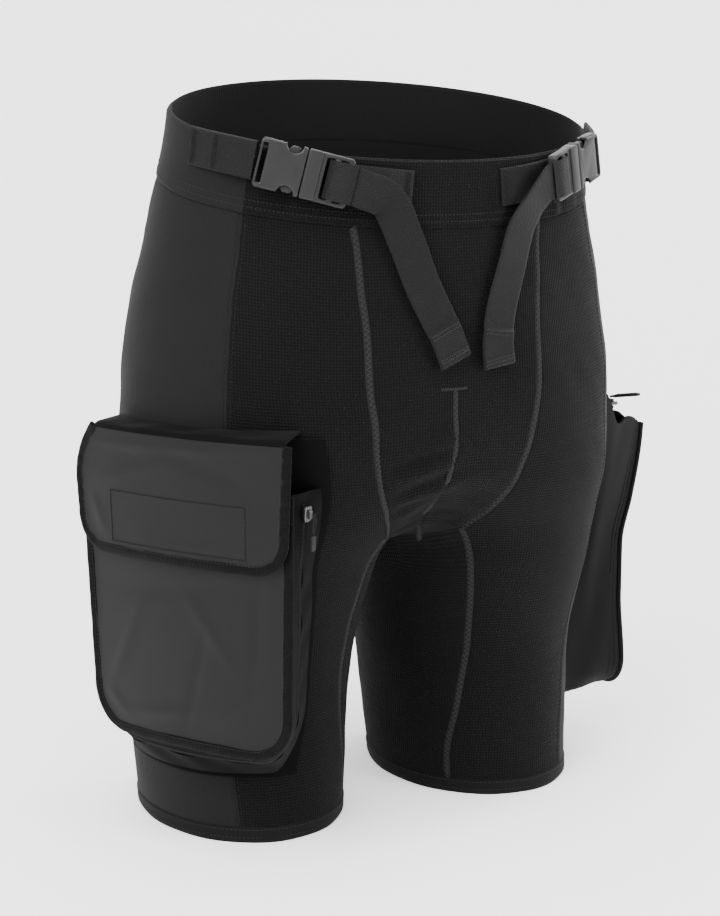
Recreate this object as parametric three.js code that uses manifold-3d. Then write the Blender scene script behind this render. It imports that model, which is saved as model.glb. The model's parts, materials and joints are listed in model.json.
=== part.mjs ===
// Close-fitting black sports shorts with two thigh pockets and two waist adjusting straps.
// Millimetres, +Z up. The shorts stand as if worn, both leg hems on the ground at z = 0.
// The wearer faces -Y, the wearer's left is +X and the wearer's right is -X.
import * as THREE from 'three';
import { mergeVertices } from 'three/addons/utils/BufferGeometryUtils.js';
import Module from 'manifold-3d';

const wasm = await Module();
wasm.setup();

// ---- Driving dimensions -----------------------------------------------------------------
// Body. Half sizes are of the inner face of the fabric.
const INSEAM = 195;            // ground to crotch
const RISE = 273;              // crotch to the front of the waist
const WAIST_HALF_WIDTH = 150;
const WAIST_HALF_DEPTH = 101;
const HIP_HALF_WIDTH = 183;
const HIP_HALF_DEPTH = 118;
const THIGH_HALF_WIDTH = 88;   // one leg, just under the crotch
const THIGH_HALF_DEPTH = 103;
const HEM_HALF_WIDTH = 68;
const HEM_HALF_DEPTH = 86;
const HEM_SPREAD = 97;         // leg centre to the middle of the body, at the hem
const RIM_SLOPE = 0.27;        // the waist rises toward the back by this share of the depth
const FABRIC = 3.0;
const SEAM_GAP = 0.35;         // clearance between two pieces that are sewn together
const WAISTBAND_HEIGHT = 45;
const WAISTBAND_THICK = 3.6;
const HEM_HEIGHT = 12;
const HEM_THICK = 3.4;

// Adjusting straps and their side-release buckles.
const WEBBING_WIDTH = 25;
const WEBBING_THICK = 1.6;
const BUCKLE_HEIGHT = 32;
const BUCKLE_THICK = 9;
const SOCKET_LENGTH = 30;
const LOCK_LENGTH = 30;        // tongue base and ladder lock together
const ARM_LENGTH = 13;
const BUCKLE_STANDOFF = 10.5;  // buckle centre plane from the body
const TAIL_END_LENGTH = 26;    // stretch where the strap tail is folded double

// Cargo pocket on the wearer's right thigh.
const CARGO_WIDTH = 178;
const CARGO_BOTTOM = 76;
const CARGO_TOP = 291;
const CARGO_MOUTH_DROP = 33;   // the face stops this far under the top, under the flap
const CARGO_CORNER = 30;
const CARGO_DEPTH = 7;         // thinnest place between the body and the pocket face
const CARGO_BULGE = 10;
const CARGO_LEAN = 6;          // the face's lower edge hangs this much nearer to the leg
const CARGO_FORWARD = 10;      // pocket middle ahead of the widest point of the thigh
const CARGO_TURN = 62;         // the way the face looks, degrees from straight ahead
const CARGO_FABRIC = 2;
const FLAP_LENGTH = 86;
const FLAP_CLEARANCE = 3.4;
const BINDING_WIDTH = 5;
const BINDING_THICK = 4.4;
const PATCH_THICK = 1.2;       // hook and loop patches
const PATCH_WIDTH = 112;
const PATCH_HEIGHT = 34;

// Bellows pocket on the wearer's left thigh.
const SIDE_POCKET_DEPTH = 50;
const SIDE_POCKET_WIDTH = 108;
const SIDE_POCKET_TOP = 258;
const SIDE_POCKET_BOTTOM = 44;
const SIDE_SLIT = 7;           // open zip, between the two tapes
const SLIDER = { long: 11, wide: 8, thick: 5 };
const PULL_LENGTH = 26;

// ---- Materials ---------------------------------------------------------------------------
const fabric = (color, roughness = 0.9) => new THREE.MeshStandardMaterial({ color, roughness, metalness: 0 });
const STRETCH = fabric(0x2a2a2b);
const SMOOTH = fabric(0x303031, 0.85);
const CORDURA = fabric(0x353536, 0.8);
const TRIM = fabric(0x1f1f20, 0.8);
const WEBBING = fabric(0x272728, 0.75);
const ACETAL = fabric(0x3a3a3b, 0.45);
const METAL = new THREE.MeshStandardMaterial({ color: 0x77787a, roughness: 0.35, metalness: 0.9 });

const shorts = new THREE.Group();

// ---- Small tools -------------------------------------------------------------------------
const rad = THREE.MathUtils.degToRad;
const lerp = THREE.MathUtils.lerp;
const clamp = THREE.MathUtils.clamp;
const vec = (x, y, z) => new THREE.Vector3(x, y, z);
const mix = (a, b, t) => a.clone().lerp(b, t);

// A smooth curve through marks [where, value] that never overshoots between two of them.
function smooth(marks) {
  const x = marks.map((m) => m[0]);
  const y = marks.map((m) => m[1]);
  const n = x.length;
  const slope = x.slice(1).map((next, i) => (y[i + 1] - y[i]) / (next - x[i]));
  const tangent = x.map((_, i) => {
    if (i === 0) return slope[0];
    if (i === n - 1) return slope[n - 2];
    if (slope[i - 1] * slope[i] <= 0) return 0;
    return 2 * slope[i - 1] * slope[i] / (slope[i - 1] + slope[i]);
  });
  return (at) => {
    const p = clamp(at, x[0], x[n - 1]);
    let i = 0;
    while (i < n - 2 && p > x[i + 1]) i++;
    const h = x[i + 1] - x[i];
    const t = (p - x[i]) / h;
    return y[i] * (1 + 2 * t) * (1 - t) ** 2 + y[i + 1] * t * t * (3 - 2 * t)
      + h * (tangent[i] * t * (1 - t) ** 2 - tangent[i + 1] * t * t * (1 - t));
  };
}

// The place where a falling function reaches zero.
function fallsToZero(value, low, high) {
  for (let i = 0; i < 40; i++) {
    const middle = (low + high) / 2;
    if (value(middle) > 0) low = middle; else high = middle;
  }
  return (low + high) / 2;
}

function addMesh(name, material, geometry) {
  const mesh = new THREE.Mesh(geometry, material);
  mesh.name = name;
  shorts.add(mesh);
  return mesh;
}

function closedGeometry(vertices, triangles) {
  let volume = 0;
  const corner = (i) => vertices.slice(3 * triangles[i], 3 * triangles[i] + 3);
  for (let i = 0; i < triangles.length; i += 3) {
    const [a, b, c] = [corner(i), corner(i + 1), corner(i + 2)];
    volume += a[0] * (b[1] * c[2] - b[2] * c[1]) + a[1] * (b[2] * c[0] - b[0] * c[2])
      + a[2] * (b[0] * c[1] - b[1] * c[0]);
  }
  if (volume < 0) triangles.reverse();
  const geometry = new THREE.BufferGeometry();
  geometry.setAttribute('position', new THREE.Float32BufferAttribute(vertices, 3));
  geometry.setIndex(triangles);
  geometry.computeVertexNormals();
  return geometry;
}

// A sheet with thickness. point(u, v, w) gives the place at u across and v along, both 0 to 1,
// on the inner face (w = 0) or the outer face (w = 1). A ring closes on itself across u.
function sheet(name, material, point, columns, rows, ring = false) {
  const across = ring ? columns : columns + 1;
  const vertices = [];
  const triangles = [];
  const at = (i, j, w) => ((i % across) * (rows + 1) + j) * 2 + w;
  for (let i = 0; i < across; i++) {
    for (let j = 0; j <= rows; j++) {
      for (const w of [0, 1]) vertices.push(...point(i / columns, j / rows, w).toArray());
    }
  }
  const quad = (a, b, c, d) => triangles.push(a, b, c, a, c, d);
  for (let i = 0; i < columns; i++) {
    for (let j = 0; j < rows; j++) {
      quad(at(i, j, 1), at(i + 1, j, 1), at(i + 1, j + 1, 1), at(i, j + 1, 1));
      quad(at(i, j + 1, 0), at(i + 1, j + 1, 0), at(i + 1, j, 0), at(i, j, 0));
    }
    quad(at(i, 0, 0), at(i + 1, 0, 0), at(i + 1, 0, 1), at(i, 0, 1));
    quad(at(i, rows, 1), at(i + 1, rows, 1), at(i + 1, rows, 0), at(i, rows, 0));
  }
  for (let j = 0; j < rows && !ring; j++) {
    quad(at(0, j + 1, 0), at(0, j, 0), at(0, j, 1), at(0, j + 1, 1));
    quad(at(columns, j, 0), at(columns, j + 1, 0), at(columns, j + 1, 1), at(columns, j, 1));
  }
  return addMesh(name, material, closedGeometry(vertices, triangles));
}

// A flat band along points, each { at, side, out }: side points across it and out away from it.
function band(name, material, path, width, thickness, rows) {
  const thick = typeof thickness === 'function' ? thickness : () => thickness;
  sheet(name, material, (u, v, w) => {
    const p = path(v);
    return p.at.clone().addScaledVector(p.side, (u - 0.5) * width).addScaledVector(p.out, w * thick(v));
  }, 1, rows);
}

// A path through points, carrying the outward direction given at each.
function strapPath(stops) {
  const curve = new THREE.CatmullRomCurve3(stops.map((s) => s.at), false, 'centripetal');
  const place = (v) => {
    const t = v * (stops.length - 1);
    const i = Math.min(Math.floor(t), stops.length - 2);
    return mix(stops[i].out, stops[i + 1].out, t - i).normalize();
  };
  return (v) => {
    const along = curve.getTangent(v);
    const rough = place(v);
    const side = along.clone().cross(rough).normalize();
    return { at: curve.getPoint(v), side, out: side.clone().cross(along).normalize() };
  };
}

function toSolid(geometry) {
  const bare = geometry.clone();
  bare.deleteAttribute('normal');
  bare.deleteAttribute('uv');
  const merged = mergeVertices(bare, 1e-4);
  return new wasm.Manifold(new wasm.Mesh({
    numProp: 3,
    vertProperties: new Float32Array(merged.attributes.position.array),
    triVerts: new Uint32Array(merged.index.array),
  }));
}

function fromSolid(solid) {
  const mesh = solid.getMesh();
  return closedGeometry(Array.from(mesh.vertProperties), Array.from(mesh.triVerts));
}

// A block between two corners, and one solid made of blocks with others cut out of it.
function block([x0, x1], [y0, y1], [z0, z1]) {
  const box = new THREE.BoxGeometry(x1 - x0, y1 - y0, z1 - z0);
  return toSolid(box.translate((x0 + x1) / 2, (y0 + y1) / 2, (z0 + z1) / 2));
}
const joined = (solids) => solids.reduce((all, next) => all.add(next));
const cut = (solid, cutters) => cutters.reduce((all, next) => all.subtract(next), solid);

function placed(name, material, solid, frame) {
  return addMesh(name, material, fromSolid(solid).applyMatrix4(frame));
}

// ---- The body ----------------------------------------------------------------------------
// Marks on the standard size are graded to this one: leg heights follow the inseam and
// heights over the crotch follow the rise.
const STANDARD_INSEAM = 195;
const STANDARD_RISE = 273;
const graded = (z) => (z <= STANDARD_INSEAM
  ? z * INSEAM / STANDARD_INSEAM
  : INSEAM + (z - STANDARD_INSEAM) * RISE / STANDARD_RISE);

// Each row: height, outer half width of the pair, half width and half depth of one leg's
// ellipse, and the ellipse's middle, front to back. Over the hips both ellipses are one.
const between = (t) => lerp(WAIST_HALF_WIDTH, HIP_HALF_WIDTH, t);
const betweenDepth = (t) => lerp(WAIST_HALF_DEPTH, HIP_HALF_DEPTH, t);
const CROTCH_CENTRE = THIGH_HALF_WIDTH + 3;
const SECTIONS = [
  [0, HEM_SPREAD + HEM_HALF_WIDTH, HEM_HALF_WIDTH, HEM_HALF_DEPTH, 24],
  [95, lerp(HEM_SPREAD + HEM_HALF_WIDTH, CROTCH_CENTRE + THIGH_HALF_WIDTH, 0.3),
    lerp(HEM_HALF_WIDTH, THIGH_HALF_WIDTH, 0.35), lerp(HEM_HALF_DEPTH, THIGH_HALF_DEPTH, 0.2), 30],
  [190, CROTCH_CENTRE + THIGH_HALF_WIDTH, THIGH_HALF_WIDTH, THIGH_HALF_DEPTH, 19],
  [250, HIP_HALF_WIDTH, HIP_HALF_WIDTH * 0.645, HIP_HALF_DEPTH - 2, 8],
  [310, between(0.97), between(0.97) * 0.83, HIP_HALF_DEPTH + 2, 1],
  [370, between(0.76), between(0.76) * 0.954, HIP_HALF_DEPTH - 1, 0],
  [415, between(0.45), between(0.45), betweenDepth(0.6), -3],
  [430, between(0.36), between(0.36), betweenDepth(0.47), -4],
  [480, between(0.12), between(0.12), betweenDepth(0.12), -13],
  [525, WAIST_HALF_WIDTH, WAIST_HALF_WIDTH, WAIST_HALF_DEPTH, -21],
];
const sectionCurves = [1, 2, 3, 4].map((k) => smooth(SECTIONS.map((row) => [graded(row[0]), row[k]])));
function section(z) {
  const [outer, halfWidth, halfDepth, middle] = sectionCurves.map((curve) => curve(z));
  return { centre: Math.max(0, outer - halfWidth), halfWidth, halfDepth, middle };
}

// A point of the body. side is 1 on the wearer's left and -1 on the right. The angle runs
// around one leg: 0 in front, 90 at the outside, 180 at the back, negative on the inside.
function outward(side, angle, z) {
  const s = section(z);
  const a = rad(angle);
  return vec(side * s.halfDepth * Math.sin(a), -s.halfWidth * Math.cos(a), 0).normalize();
}
function skin(side, angle, z, lift = 0) {
  const s = section(z);
  const a = rad(angle);
  return vec(side * (s.centre + s.halfWidth * Math.sin(a)), s.middle - s.halfDepth * Math.cos(a), z)
    .addScaledVector(outward(side, angle, z), lift);
}
// The fabric's face between two rows of a panel is straight, so what lies on it follows that.
function onCloth(side, angle, z, lift) {
  let row = 0;
  while (row < TOP_ROW - 1 && rowHeight(row + 1, angle) < z) row++;
  const [low, high] = [rowHeight(row, angle), rowHeight(row + 1, angle)];
  return mix(skin(side, angle, low, lift), skin(side, angle, high, lift), (z - low) / (high - low));
}
// Stops from one height to another that take in every row on the way, for any angle.
function stopsOnCloth(low, high) {
  const rows = [];
  for (let row = 0; row <= TOP_ROW; row++) {
    if (rowHeight(row, 50) > low + 4 && rowHeight(row, 50) < high - 4) rows.push(row);
  }
  return [() => low, ...rows.map((row) => (angle) => clamp(rowHeight(row, angle), low, high)), () => high];
}
// The direction square to the body's surface.
function squareOut(side, angle, z) {
  const around = skin(side, angle + 1, z).sub(skin(side, angle - 1, z));
  const rise = skin(side, angle, z + 3).sub(skin(side, angle, z - 3));
  return around.cross(rise).multiplyScalar(side).normalize();
}
const degreesFor = (length, z) => THREE.MathUtils.radToDeg(length / section(z).halfDepth);

// The two legs' fabrics meet at x = 0. The first is the height for an angle on the inside of
// the leg, the second the angle for a height at the back.
const roomToMiddle = (angle, z) => skin(1, angle, z, FABRIC).x - 0.3;
const meetingHeight = (angle) => fallsToZero((z) => roomToMiddle(angle, z), graded(130), graded(330));
const meetingAngle = (z) => fallsToZero((angle) => roomToMiddle(angle, z), 150, 262);

const BACK_INNER_SEAM = -140;
const CROTCH_END = -65.8;       // the front panel's underside narrows to here
const centreSeam = smooth([[211, -34], [230, -18], [250, -6], [285, 7], [320, 14.5], [380, 21.5],
  [440, 27]].map(([z, a]) => [graded(z), a]));
const innerSeam = smooth([[0, -47], [27, -46], [70, -38], [120, -32], [205, -33.5], [211, -34]]
  .map(([z, a]) => [graded(z), a]));
const sideSeam = smooth([[0, 29], [36, 31], [296, 50], [366, 53], [440, 54.6], [525, 55]]
  .map(([z, a]) => [graded(z), a]));
const backSeam = smooth([[0, 124], [250, 120], [468, 122], [525, 122]].map(([z, a]) => [graded(z), a]));
const pouchSeam = smooth([[CROTCH_END, 196.5], [-60, 199], [-50, 203.5], [-34, 211]]
  .map(([a, z]) => [a, graded(z)]));

// Top edge of an inner leg panel.
const innerTop = (angle) => (angle >= CROTCH_END - 1
  ? Math.min(pouchSeam(angle), meetingHeight(angle)) : meetingHeight(angle));

// Waist: the rim rises toward the back. The waistband's lower edge is level with the rim.
function rim(angle) {
  let z = graded(500);
  for (let i = 0; i < 4; i++) {
    z = INSEAM + RISE + RIM_SLOPE * (skin(1, angle, z).y - skin(1, 0, INSEAM + RISE).y);
  }
  return z;
}
const waistSeam = (angle) => rim(angle) - WAISTBAND_HEIGHT;

// Rows of the panels. The same row crosses every seam at the same place.
const LEG_ROWS = 5;
const CROTCH_ROW = 7;
const TOP_ROW = 14;
const LEG_TOP = graded(172);
const crotchLine = smooth([[-60, graded(211)], [40, graded(211)], [122, graded(222)],
  [360 + BACK_INNER_SEAM, innerTop(BACK_INNER_SEAM)]]);
function rowHeight(row, angle) {
  const crotch = crotchLine(angle);
  if (row <= LEG_ROWS) return lerp(HEM_HEIGHT + SEAM_GAP, LEG_TOP, row / LEG_ROWS);
  if (row <= CROTCH_ROW) return lerp(LEG_TOP, crotch, (row - LEG_ROWS) / (CROTCH_ROW - LEG_ROWS));
  return lerp(crotch, waistSeam(angle), (row - CROTCH_ROW) / (TOP_ROW - CROTCH_ROW));
}
// Where a seam, given as an angle for a height, crosses a row.
function seamAt(seam, row) {
  let angle = seam(rowHeight(row, 60));
  for (let i = 0; i < 6; i++) angle = seam(rowHeight(row, angle));
  return angle;
}

// A panel between two seams on one side, from one row to another.
function panel(name, material, side, firstSeam, lastSeam, columns, fromRow, toRow) {
  const rows = toRow - fromRow;
  sheet(name, material, (u, v, w) => {
    const row = fromRow + Math.round(v * rows);
    const a = seamAt(firstSeam, row);
    const b = seamAt(lastSeam, row);
    const gap = degreesFor(SEAM_GAP / 2, rowHeight(row, a));
    const angle = lerp(a + gap, b - gap, u);
    return skin(side, angle, rowHeight(row, angle), w * FABRIC);
  }, columns, rows);
}

const thighFront = (z) => (z < graded(211) ? innerSeam(z) : centreSeam(z));
const seatEnd = (z) => Math.min(360 + BACK_INNER_SEAM, meetingAngle(Math.max(z, graded(200))));

for (const [side, hand] of [[-1, 'right'], [1, 'left']]) {
  panel(`front_thigh_panel_${hand}`, STRETCH, side, thighFront, sideSeam, 8, 0, TOP_ROW);
  panel(`side_panel_${hand}`, SMOOTH, side, sideSeam, backSeam, 8, 0, TOP_ROW);
  panel(`seat_panel_${hand}`, SMOOTH, side, backSeam, seatEnd, 9, 0, TOP_ROW);

  // The inner leg panel ends under the front panel's seam and at the crotch.
  const columns = 10;
  const bottomRows = LEG_ROWS;
  const topRows = CROTCH_ROW - LEG_ROWS;
  sheet(`inner_leg_panel_${hand}`, STRETCH, (u, v, w) => {
    const row = Math.round(v * (bottomRows + topRows));
    const top = lerp(BACK_INNER_SEAM, innerSeam(graded(211)), u);
    const rowZ = rowHeight(Math.min(row, bottomRows), 0);
    const topZ = innerTop(top) - 0.01;
    const z = row <= bottomRows ? rowZ : lerp(rowZ, topZ, (row - bottomRows) / topRows);
    const gap = degreesFor(SEAM_GAP / 2, z);
    const seam = innerSeam(rowHeight(row, innerSeam(z)));
    const angle = lerp(BACK_INNER_SEAM + gap, seam - gap, u);
    return skin(side, angle, z, w * FABRIC);
  }, columns, bottomRows + topRows);

  sheet(`hem_band_${hand}`, TRIM, (u, v, w) => {
    const z = v * HEM_HEIGHT;
    return skin(side, 360 * u, z, w * HEM_THICK);
  }, 40, 1, true);
}

// The front panel runs from the waist over the pouch and under it to the crotch. Its middle
// line bulges forward of the seams: [height at the seam, height and y on the middle line].
const middleHeight = smooth([[211, 223], [230, 242], [250, 258], [285, 287], [330, 330], [440, 440]]
  .map(([seam, z]) => [graded(seam), graded(z)]));
const middleForward = smooth([[211, 44], [230, 18], [250, 5], [285, 0], [330, 0], [440, 0]]
  .map(([seam, back]) => [graded(seam), back]));
const UNDER_ROWS = 3;
const FRONT_ROWS = TOP_ROW - CROTCH_ROW;

function frontRow(row, side) {
  if (row >= UNDER_ROWS) {
    const level = row - UNDER_ROWS + CROTCH_ROW;
    const seam = seamAt(centreSeam, level);
    const angle = seam - degreesFor(2 * SEAM_GAP, rowHeight(level, seam));
    const z = rowHeight(level, seam);
    const edge = skin(side, angle, z);
    const z1 = level === TOP_ROW ? waistSeam(0) : middleHeight(z);
    const front = HIP_HALF_DEPTH + 1;
    const s = section(z1);
    const skinY = s.middle - s.halfDepth * Math.sqrt(1 - (s.centre / s.halfWidth) ** 2);
    const y = z > graded(330) ? skinY : -front + middleForward(z);
    return { edge, out: outward(side, angle, z), middle: vec(0, y, z1) };
  }
  const t = 1 - row / UNDER_ROWS;
  const angle = lerp(-34, CROTCH_END, t);
  const z = innerTop(angle) + 2 * SEAM_GAP;
  const edge = skin(side, angle, z);
  const start = vec(0, -HIP_HALF_DEPTH - 1 + middleForward(graded(211)), middleHeight(graded(211)));
  const end = vec(0, edge.y, innerTop(CROTCH_END) + 6);
  const y = lerp(start.y, skin(1, CROTCH_END, z).y, t);
  return { edge, out: outward(side, angle, z), middle: vec(0, y, lerp(start.z, end.z, Math.sqrt(t))) };
}
sheet('front_centre_panel', STRETCH, (u, v, w) => {
  const rows = UNDER_ROWS + FRONT_ROWS;
  const row = Math.round(v * rows);
  const x = 2 * u - 1;
  const arch = 1 - x * x;
  const surface = (r, xx) => {
    const f = frontRow(r, xx < 0 ? -1 : 1);
    const a = 1 - xx * xx;
    return vec(Math.abs(xx) * f.edge.x, lerp(f.edge.y, f.middle.y, a), lerp(f.edge.z, f.middle.z, a));
  };
  const f = frontRow(row, x < 0 ? -1 : 1);
  const here = surface(row, x);
  const lower = surface(Math.max(0, row - 1), x);
  const upper = surface(Math.min(rows, row + 1), x);
  const left = surface(row, Math.min(1, x + 0.02));
  const right = surface(row, Math.max(-1, x - 0.02));
  const normal = left.sub(right).cross(upper.sub(lower)).normalize();
  const out = mix(normal, f.out, (1 - arch) ** 2).normalize();
  return here.addScaledVector(out, w * FABRIC);
}, 12, UNDER_ROWS + FRONT_ROWS);

// Waistband: a front piece, a smooth piece at each side, and a back piece.
function waistPiece(name, material, from, to, columns) {
  const gap = degreesFor(SEAM_GAP / 2, graded(460));
  sheet(name, material, (u, v, w) => {
    const around = lerp(from + gap, to - gap, u);   // -180 to 540, 0 in front, 90 on the left
    const side = ((around % 360) + 360) % 360 > 180 ? -1 : 1;
    const angle = side < 0 ? -around + (around > 180 ? 360 : 0) : around;
    const z = waistSeam(angle) + 0.5 + v * (WAISTBAND_HEIGHT - 0.5);
    return skin(side, angle, z, w * WAISTBAND_THICK);
  }, columns, 2);
}
const FRONT_CUT = 54.6;
const BACK_CUT = 122;
waistPiece('waistband_front', STRETCH, -FRONT_CUT, FRONT_CUT, 18);
waistPiece('waistband_side_left', SMOOTH, FRONT_CUT, BACK_CUT, 10);
waistPiece('waistband_back', SMOOTH, BACK_CUT, 360 - BACK_CUT, 18);
waistPiece('waistband_side_right', SMOOTH, 360 - BACK_CUT, 360 - FRONT_CUT, 10);

// ---- Straps and buckles ------------------------------------------------------------------
// Angle and height of the strap's middle line, from the slit in the waistband to the front.
const strapHeight = smooth([[10, 449], [26, 453.5], [52, 469], [76.5, 478]].map(([a, z]) => [a, graded(z)]));
const SLIT_ANGLE = 76.5;
const BUCKLE_REAR = 52;
const BUCKLE_FRONT = 26;

for (const [side, hand] of [[-1, 'right'], [1, 'left']]) {
  const rear = skin(side, BUCKLE_REAR, strapHeight(BUCKLE_REAR));
  const front = skin(side, BUCKLE_FRONT, strapHeight(BUCKLE_FRONT));
  const along = front.clone().sub(rear).normalize();
  const middle = (BUCKLE_REAR + BUCKLE_FRONT) / 2;
  const away = outward(side, middle, strapHeight(middle));
  const up = away.clone().cross(along).normalize();
  const out = along.clone().cross(up).normalize();
  const origin = skin(side, middle, strapHeight(middle), BUCKLE_STANDOFF);
  const frame = new THREE.Matrix4().makeBasis(along, up, out).setPosition(origin);
  const local = (x, y, z) => vec(x, y, z).applyMatrix4(frame);
  const h = BUCKLE_HEIGHT / 2;
  const t = BUCKLE_THICK / 2;

  // Socket: hollow, open to the front, with a window in each edge for the release arms.
  const wall = 1.9;
  const socket = cut(block([-SOCKET_LENGTH - 1, -1], [-h, h], [-t, t]), [
    block([-SOCKET_LENGTH + 8, 0], [-h + wall + 1.6, h - wall - 1.6], [-t + wall, t - wall]),
    block([-17, 0], [-h - 1, h + 1], [-t + wall, t - wall]),
    block([-14.5, -4], [h - 4.2, h + 1], [-t - 1, t + 1]),
    block([-14.5, -4], [-h - 1, -h + 4.2], [-t - 1, t + 1]),
    block([-SOCKET_LENGTH + 1, -SOCKET_LENGTH + 5], [-h + 3, h - 3], [-t - 1, t + 1]),
  ]);
  placed(`buckle_socket_${hand}`, ACETAL, socket, frame);

  // Tongue: a guide blade, a base block and a two-bar ladder lock for the strap.
  const tongue = cut(joined([
    block([-SOCKET_LENGTH + 11, 1], [-2.6, 2.6], [-1.7, 1.7]),
    block([0, 9], [-h, h], [-t, t]),
    block([8, LOCK_LENGTH], [-h, h], [-3.2, 3.2]),
  ]), [
    block([12, 17], [-WEBBING_WIDTH / 2 - 0.8, WEBBING_WIDTH / 2 + 0.8], [-t - 1, t + 1]),
    block([21, 26], [-WEBBING_WIDTH / 2 - 0.8, WEBBING_WIDTH / 2 + 0.8], [-t - 1, t + 1]),
  ]);
  placed(`buckle_tongue_${hand}`, ACETAL, tongue, frame);

  // Release arms, each bent inward at its root when it is squeezed.
  for (const [edge, name] of [[-side, 'upper'], [side, 'lower']]) {
    const across = (a, b) => (edge > 0 ? [a, b] : [-b, -a]);
    placed(`buckle_arm_${name}_${hand}`, ACETAL, joined([
      block([-ARM_LENGTH, -0.6], across(8.4, 11.2), [-1.8, 1.8]),
      block([-ARM_LENGTH, -5.2], across(10.9, h - 0.9), [-1.8, 1.8]),
    ]), frame);
  }

  // Webbing from the waistband to the socket.
  const stops = [76.5, 68, 60].map((angle, i) => ({
    at: skin(side, angle, strapHeight(angle), [4.3, 4.5, 7][i]),
    out: squareOut(side, angle, strapHeight(angle)),
  }));
  stops[0].at = skin(side, SLIT_ANGLE, strapHeight(SLIT_ANGLE), 4.3);
  stops.push({ at: local(-SOCKET_LENGTH - 1.6, 0, -WEBBING_THICK), out });
  band(`belt_webbing_${hand}`, WEBBING, strapPath(stops), WEBBING_WIDTH, 2 * WEBBING_THICK, 8);

  // Webbing sewn to the front of the waistband, that carries the ladder lock.
  const anchor = [12, 18, 24, 30].map((angle) => ({
    at: skin(side, angle, strapHeight(angle), WAISTBAND_THICK + 1),
    out: squareOut(side, angle, strapHeight(angle)),
  }));
  band(`strap_anchor_${hand}`, WEBBING, strapPath(anchor), WEBBING_WIDTH, WEBBING_THICK, 4);

  // Free tail, hanging from the ladder lock with its end folded double and sewn.
  const hang = side < 0
    ? [[18.5, 443, 10], [14, 420, 7.5], [8, 387, 6.8], [1, 357, 6.6]]
    : [[17.5, 425, 9], [12.5, 397, 7.5], [7.5, 369, 6.8], [4, 346, 6.6]];
  const tip = vec(side < 0 ? -5 : 29, -HIP_HALF_DEPTH - 6, graded(side < 0 ? 336 : 331));
  const tail = [
    { at: local(LOCK_LENGTH + 2.4, 0, 0), out },
    { at: local(LOCK_LENGTH + 10, side * 1, 0), out },
    ...hang.map(([angle, z, lift]) => ({
      at: skin(side, angle, graded(z), lift), out: squareOut(side, angle, graded(z)),
    })),
    { at: tip, out: vec(0, -1, 0) },
  ];
  const path = strapPath(tail);
  const length = new THREE.CatmullRomCurve3(tail.map((s) => s.at), false, 'centripetal').getLength();
  const rows = 18;
  const folded = 1 - TAIL_END_LENGTH / length;
  band(`strap_tail_${hand}`, WEBBING, path, WEBBING_WIDTH,
    (v) => (v > folded ? 2.1 : 1) * WEBBING_THICK, rows);
}

// ---- Zip slider and pull, the same on both pockets ---------------------------------------
// The slider's frame: x along its travel, y across the zip, z out of the zip.
function zipSlider(prefix, frame, pullAt) {
  const { long, wide, thick } = SLIDER;
  placed(`${prefix}_zip_slider`, METAL, joined([
    block([-long / 2, long / 2], [-wide / 2, wide / 2], [0, thick * 0.55]),
    block([-2, 2], [-1.2, 1.2], [thick * 0.5, thick]),
  ]), frame);
  const pull = joined([
    block([0, PULL_LENGTH], [-2.6, 2.6], [-1.1, 1.1]),
  ]);
  placed(`${prefix}_zip_pull`, TRIM, pull, pullAt);
}

// ---- Cargo pocket on the right thigh -----------------------------------------------------
const CARGO_SIDE = -1;
const look = vec(-Math.sin(rad(CARGO_TURN)), -Math.cos(rad(CARGO_TURN)), 0);
const ahead = vec(Math.cos(rad(CARGO_TURN)), -Math.sin(rad(CARGO_TURN)), 0);
const cargoHeight = (z) => graded(z);
function widest(z) {
  const s = section(z);
  const reach = vec(s.halfWidth ** 2 * look.x, s.halfDepth ** 2 * look.y, 0);
  const size = Math.hypot(s.halfWidth * look.x, s.halfDepth * look.y);
  return vec(-s.centre, s.middle, 0).addScaledVector(reach, 1 / size);
}
const thighPoint = widest(graded(190));
const cargoMiddle = thighPoint.dot(ahead) + CARGO_FORWARD;
const cargoReach = Math.max(...[190, 220, 250, 270].map((z) => widest(graded(z)).dot(look)));
const cargoPlane = (z) => cargoReach + FABRIC + CARGO_DEPTH - CARGO_BULGE
  - CARGO_LEAN * clamp((graded(CARGO_TOP) - z) / 215, 0, 1);
const halfCargo = CARGO_WIDTH / 2;
const cargoTaper = (z) => halfCargo - 6 * clamp((graded(CARGO_TOP) - z) / 190, 0, 1);

// A point of the pocket face, a across it from its middle and depth out from it.
function onFace(a, z, depth = 0) {
  const bulge = CARGO_BULGE * (1 - (a / halfCargo) ** 2);
  return vec(0, 0, z).addScaledVector(ahead, cargoMiddle + a)
    .addScaledVector(look, cargoPlane(z) + bulge + depth);
}
const faceLean = (a) => vec(0, 0, 0).addScaledVector(look, 1)
  .addScaledVector(ahead, 2 * CARGO_BULGE * a / halfCargo ** 2).normalize();

// Half width of a face with rounded lower corners.
function roundedHalf(half, bottom, radius, z) {
  const rise = clamp(bottom + radius - z, 0, radius);
  return half - radius + Math.sqrt(Math.max(0, radius ** 2 - rise ** 2));
}

// The U of the pocket's edge: down the rear, around under it and up the front. s is 0 to 1.
const RUN = 0.3;
const BEND = 0.12;
function uPath(s, halfAt, bottom, top, radius) {
  const rear = s < 0.5;
  const t = rear ? s : 1 - s;
  const sign = rear ? -1 : 1;
  const half = halfAt(bottom + radius);
  if (t <= RUN) {
    const z = lerp(top, bottom + radius, t / RUN);
    return [sign * halfAt(z), z, sign, 0];
  }
  if (t <= RUN + BEND) {
    const turn = rad(90 * (t - RUN) / BEND);
    return [sign * (half - radius + radius * Math.cos(turn)), bottom + radius - radius * Math.sin(turn),
      sign * Math.cos(turn), -Math.sin(turn)];
  }
  const left = (0.5 - t) / (0.5 - RUN - BEND);
  return [sign * (half - radius) * left, bottom, 0, -1];
}
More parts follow.
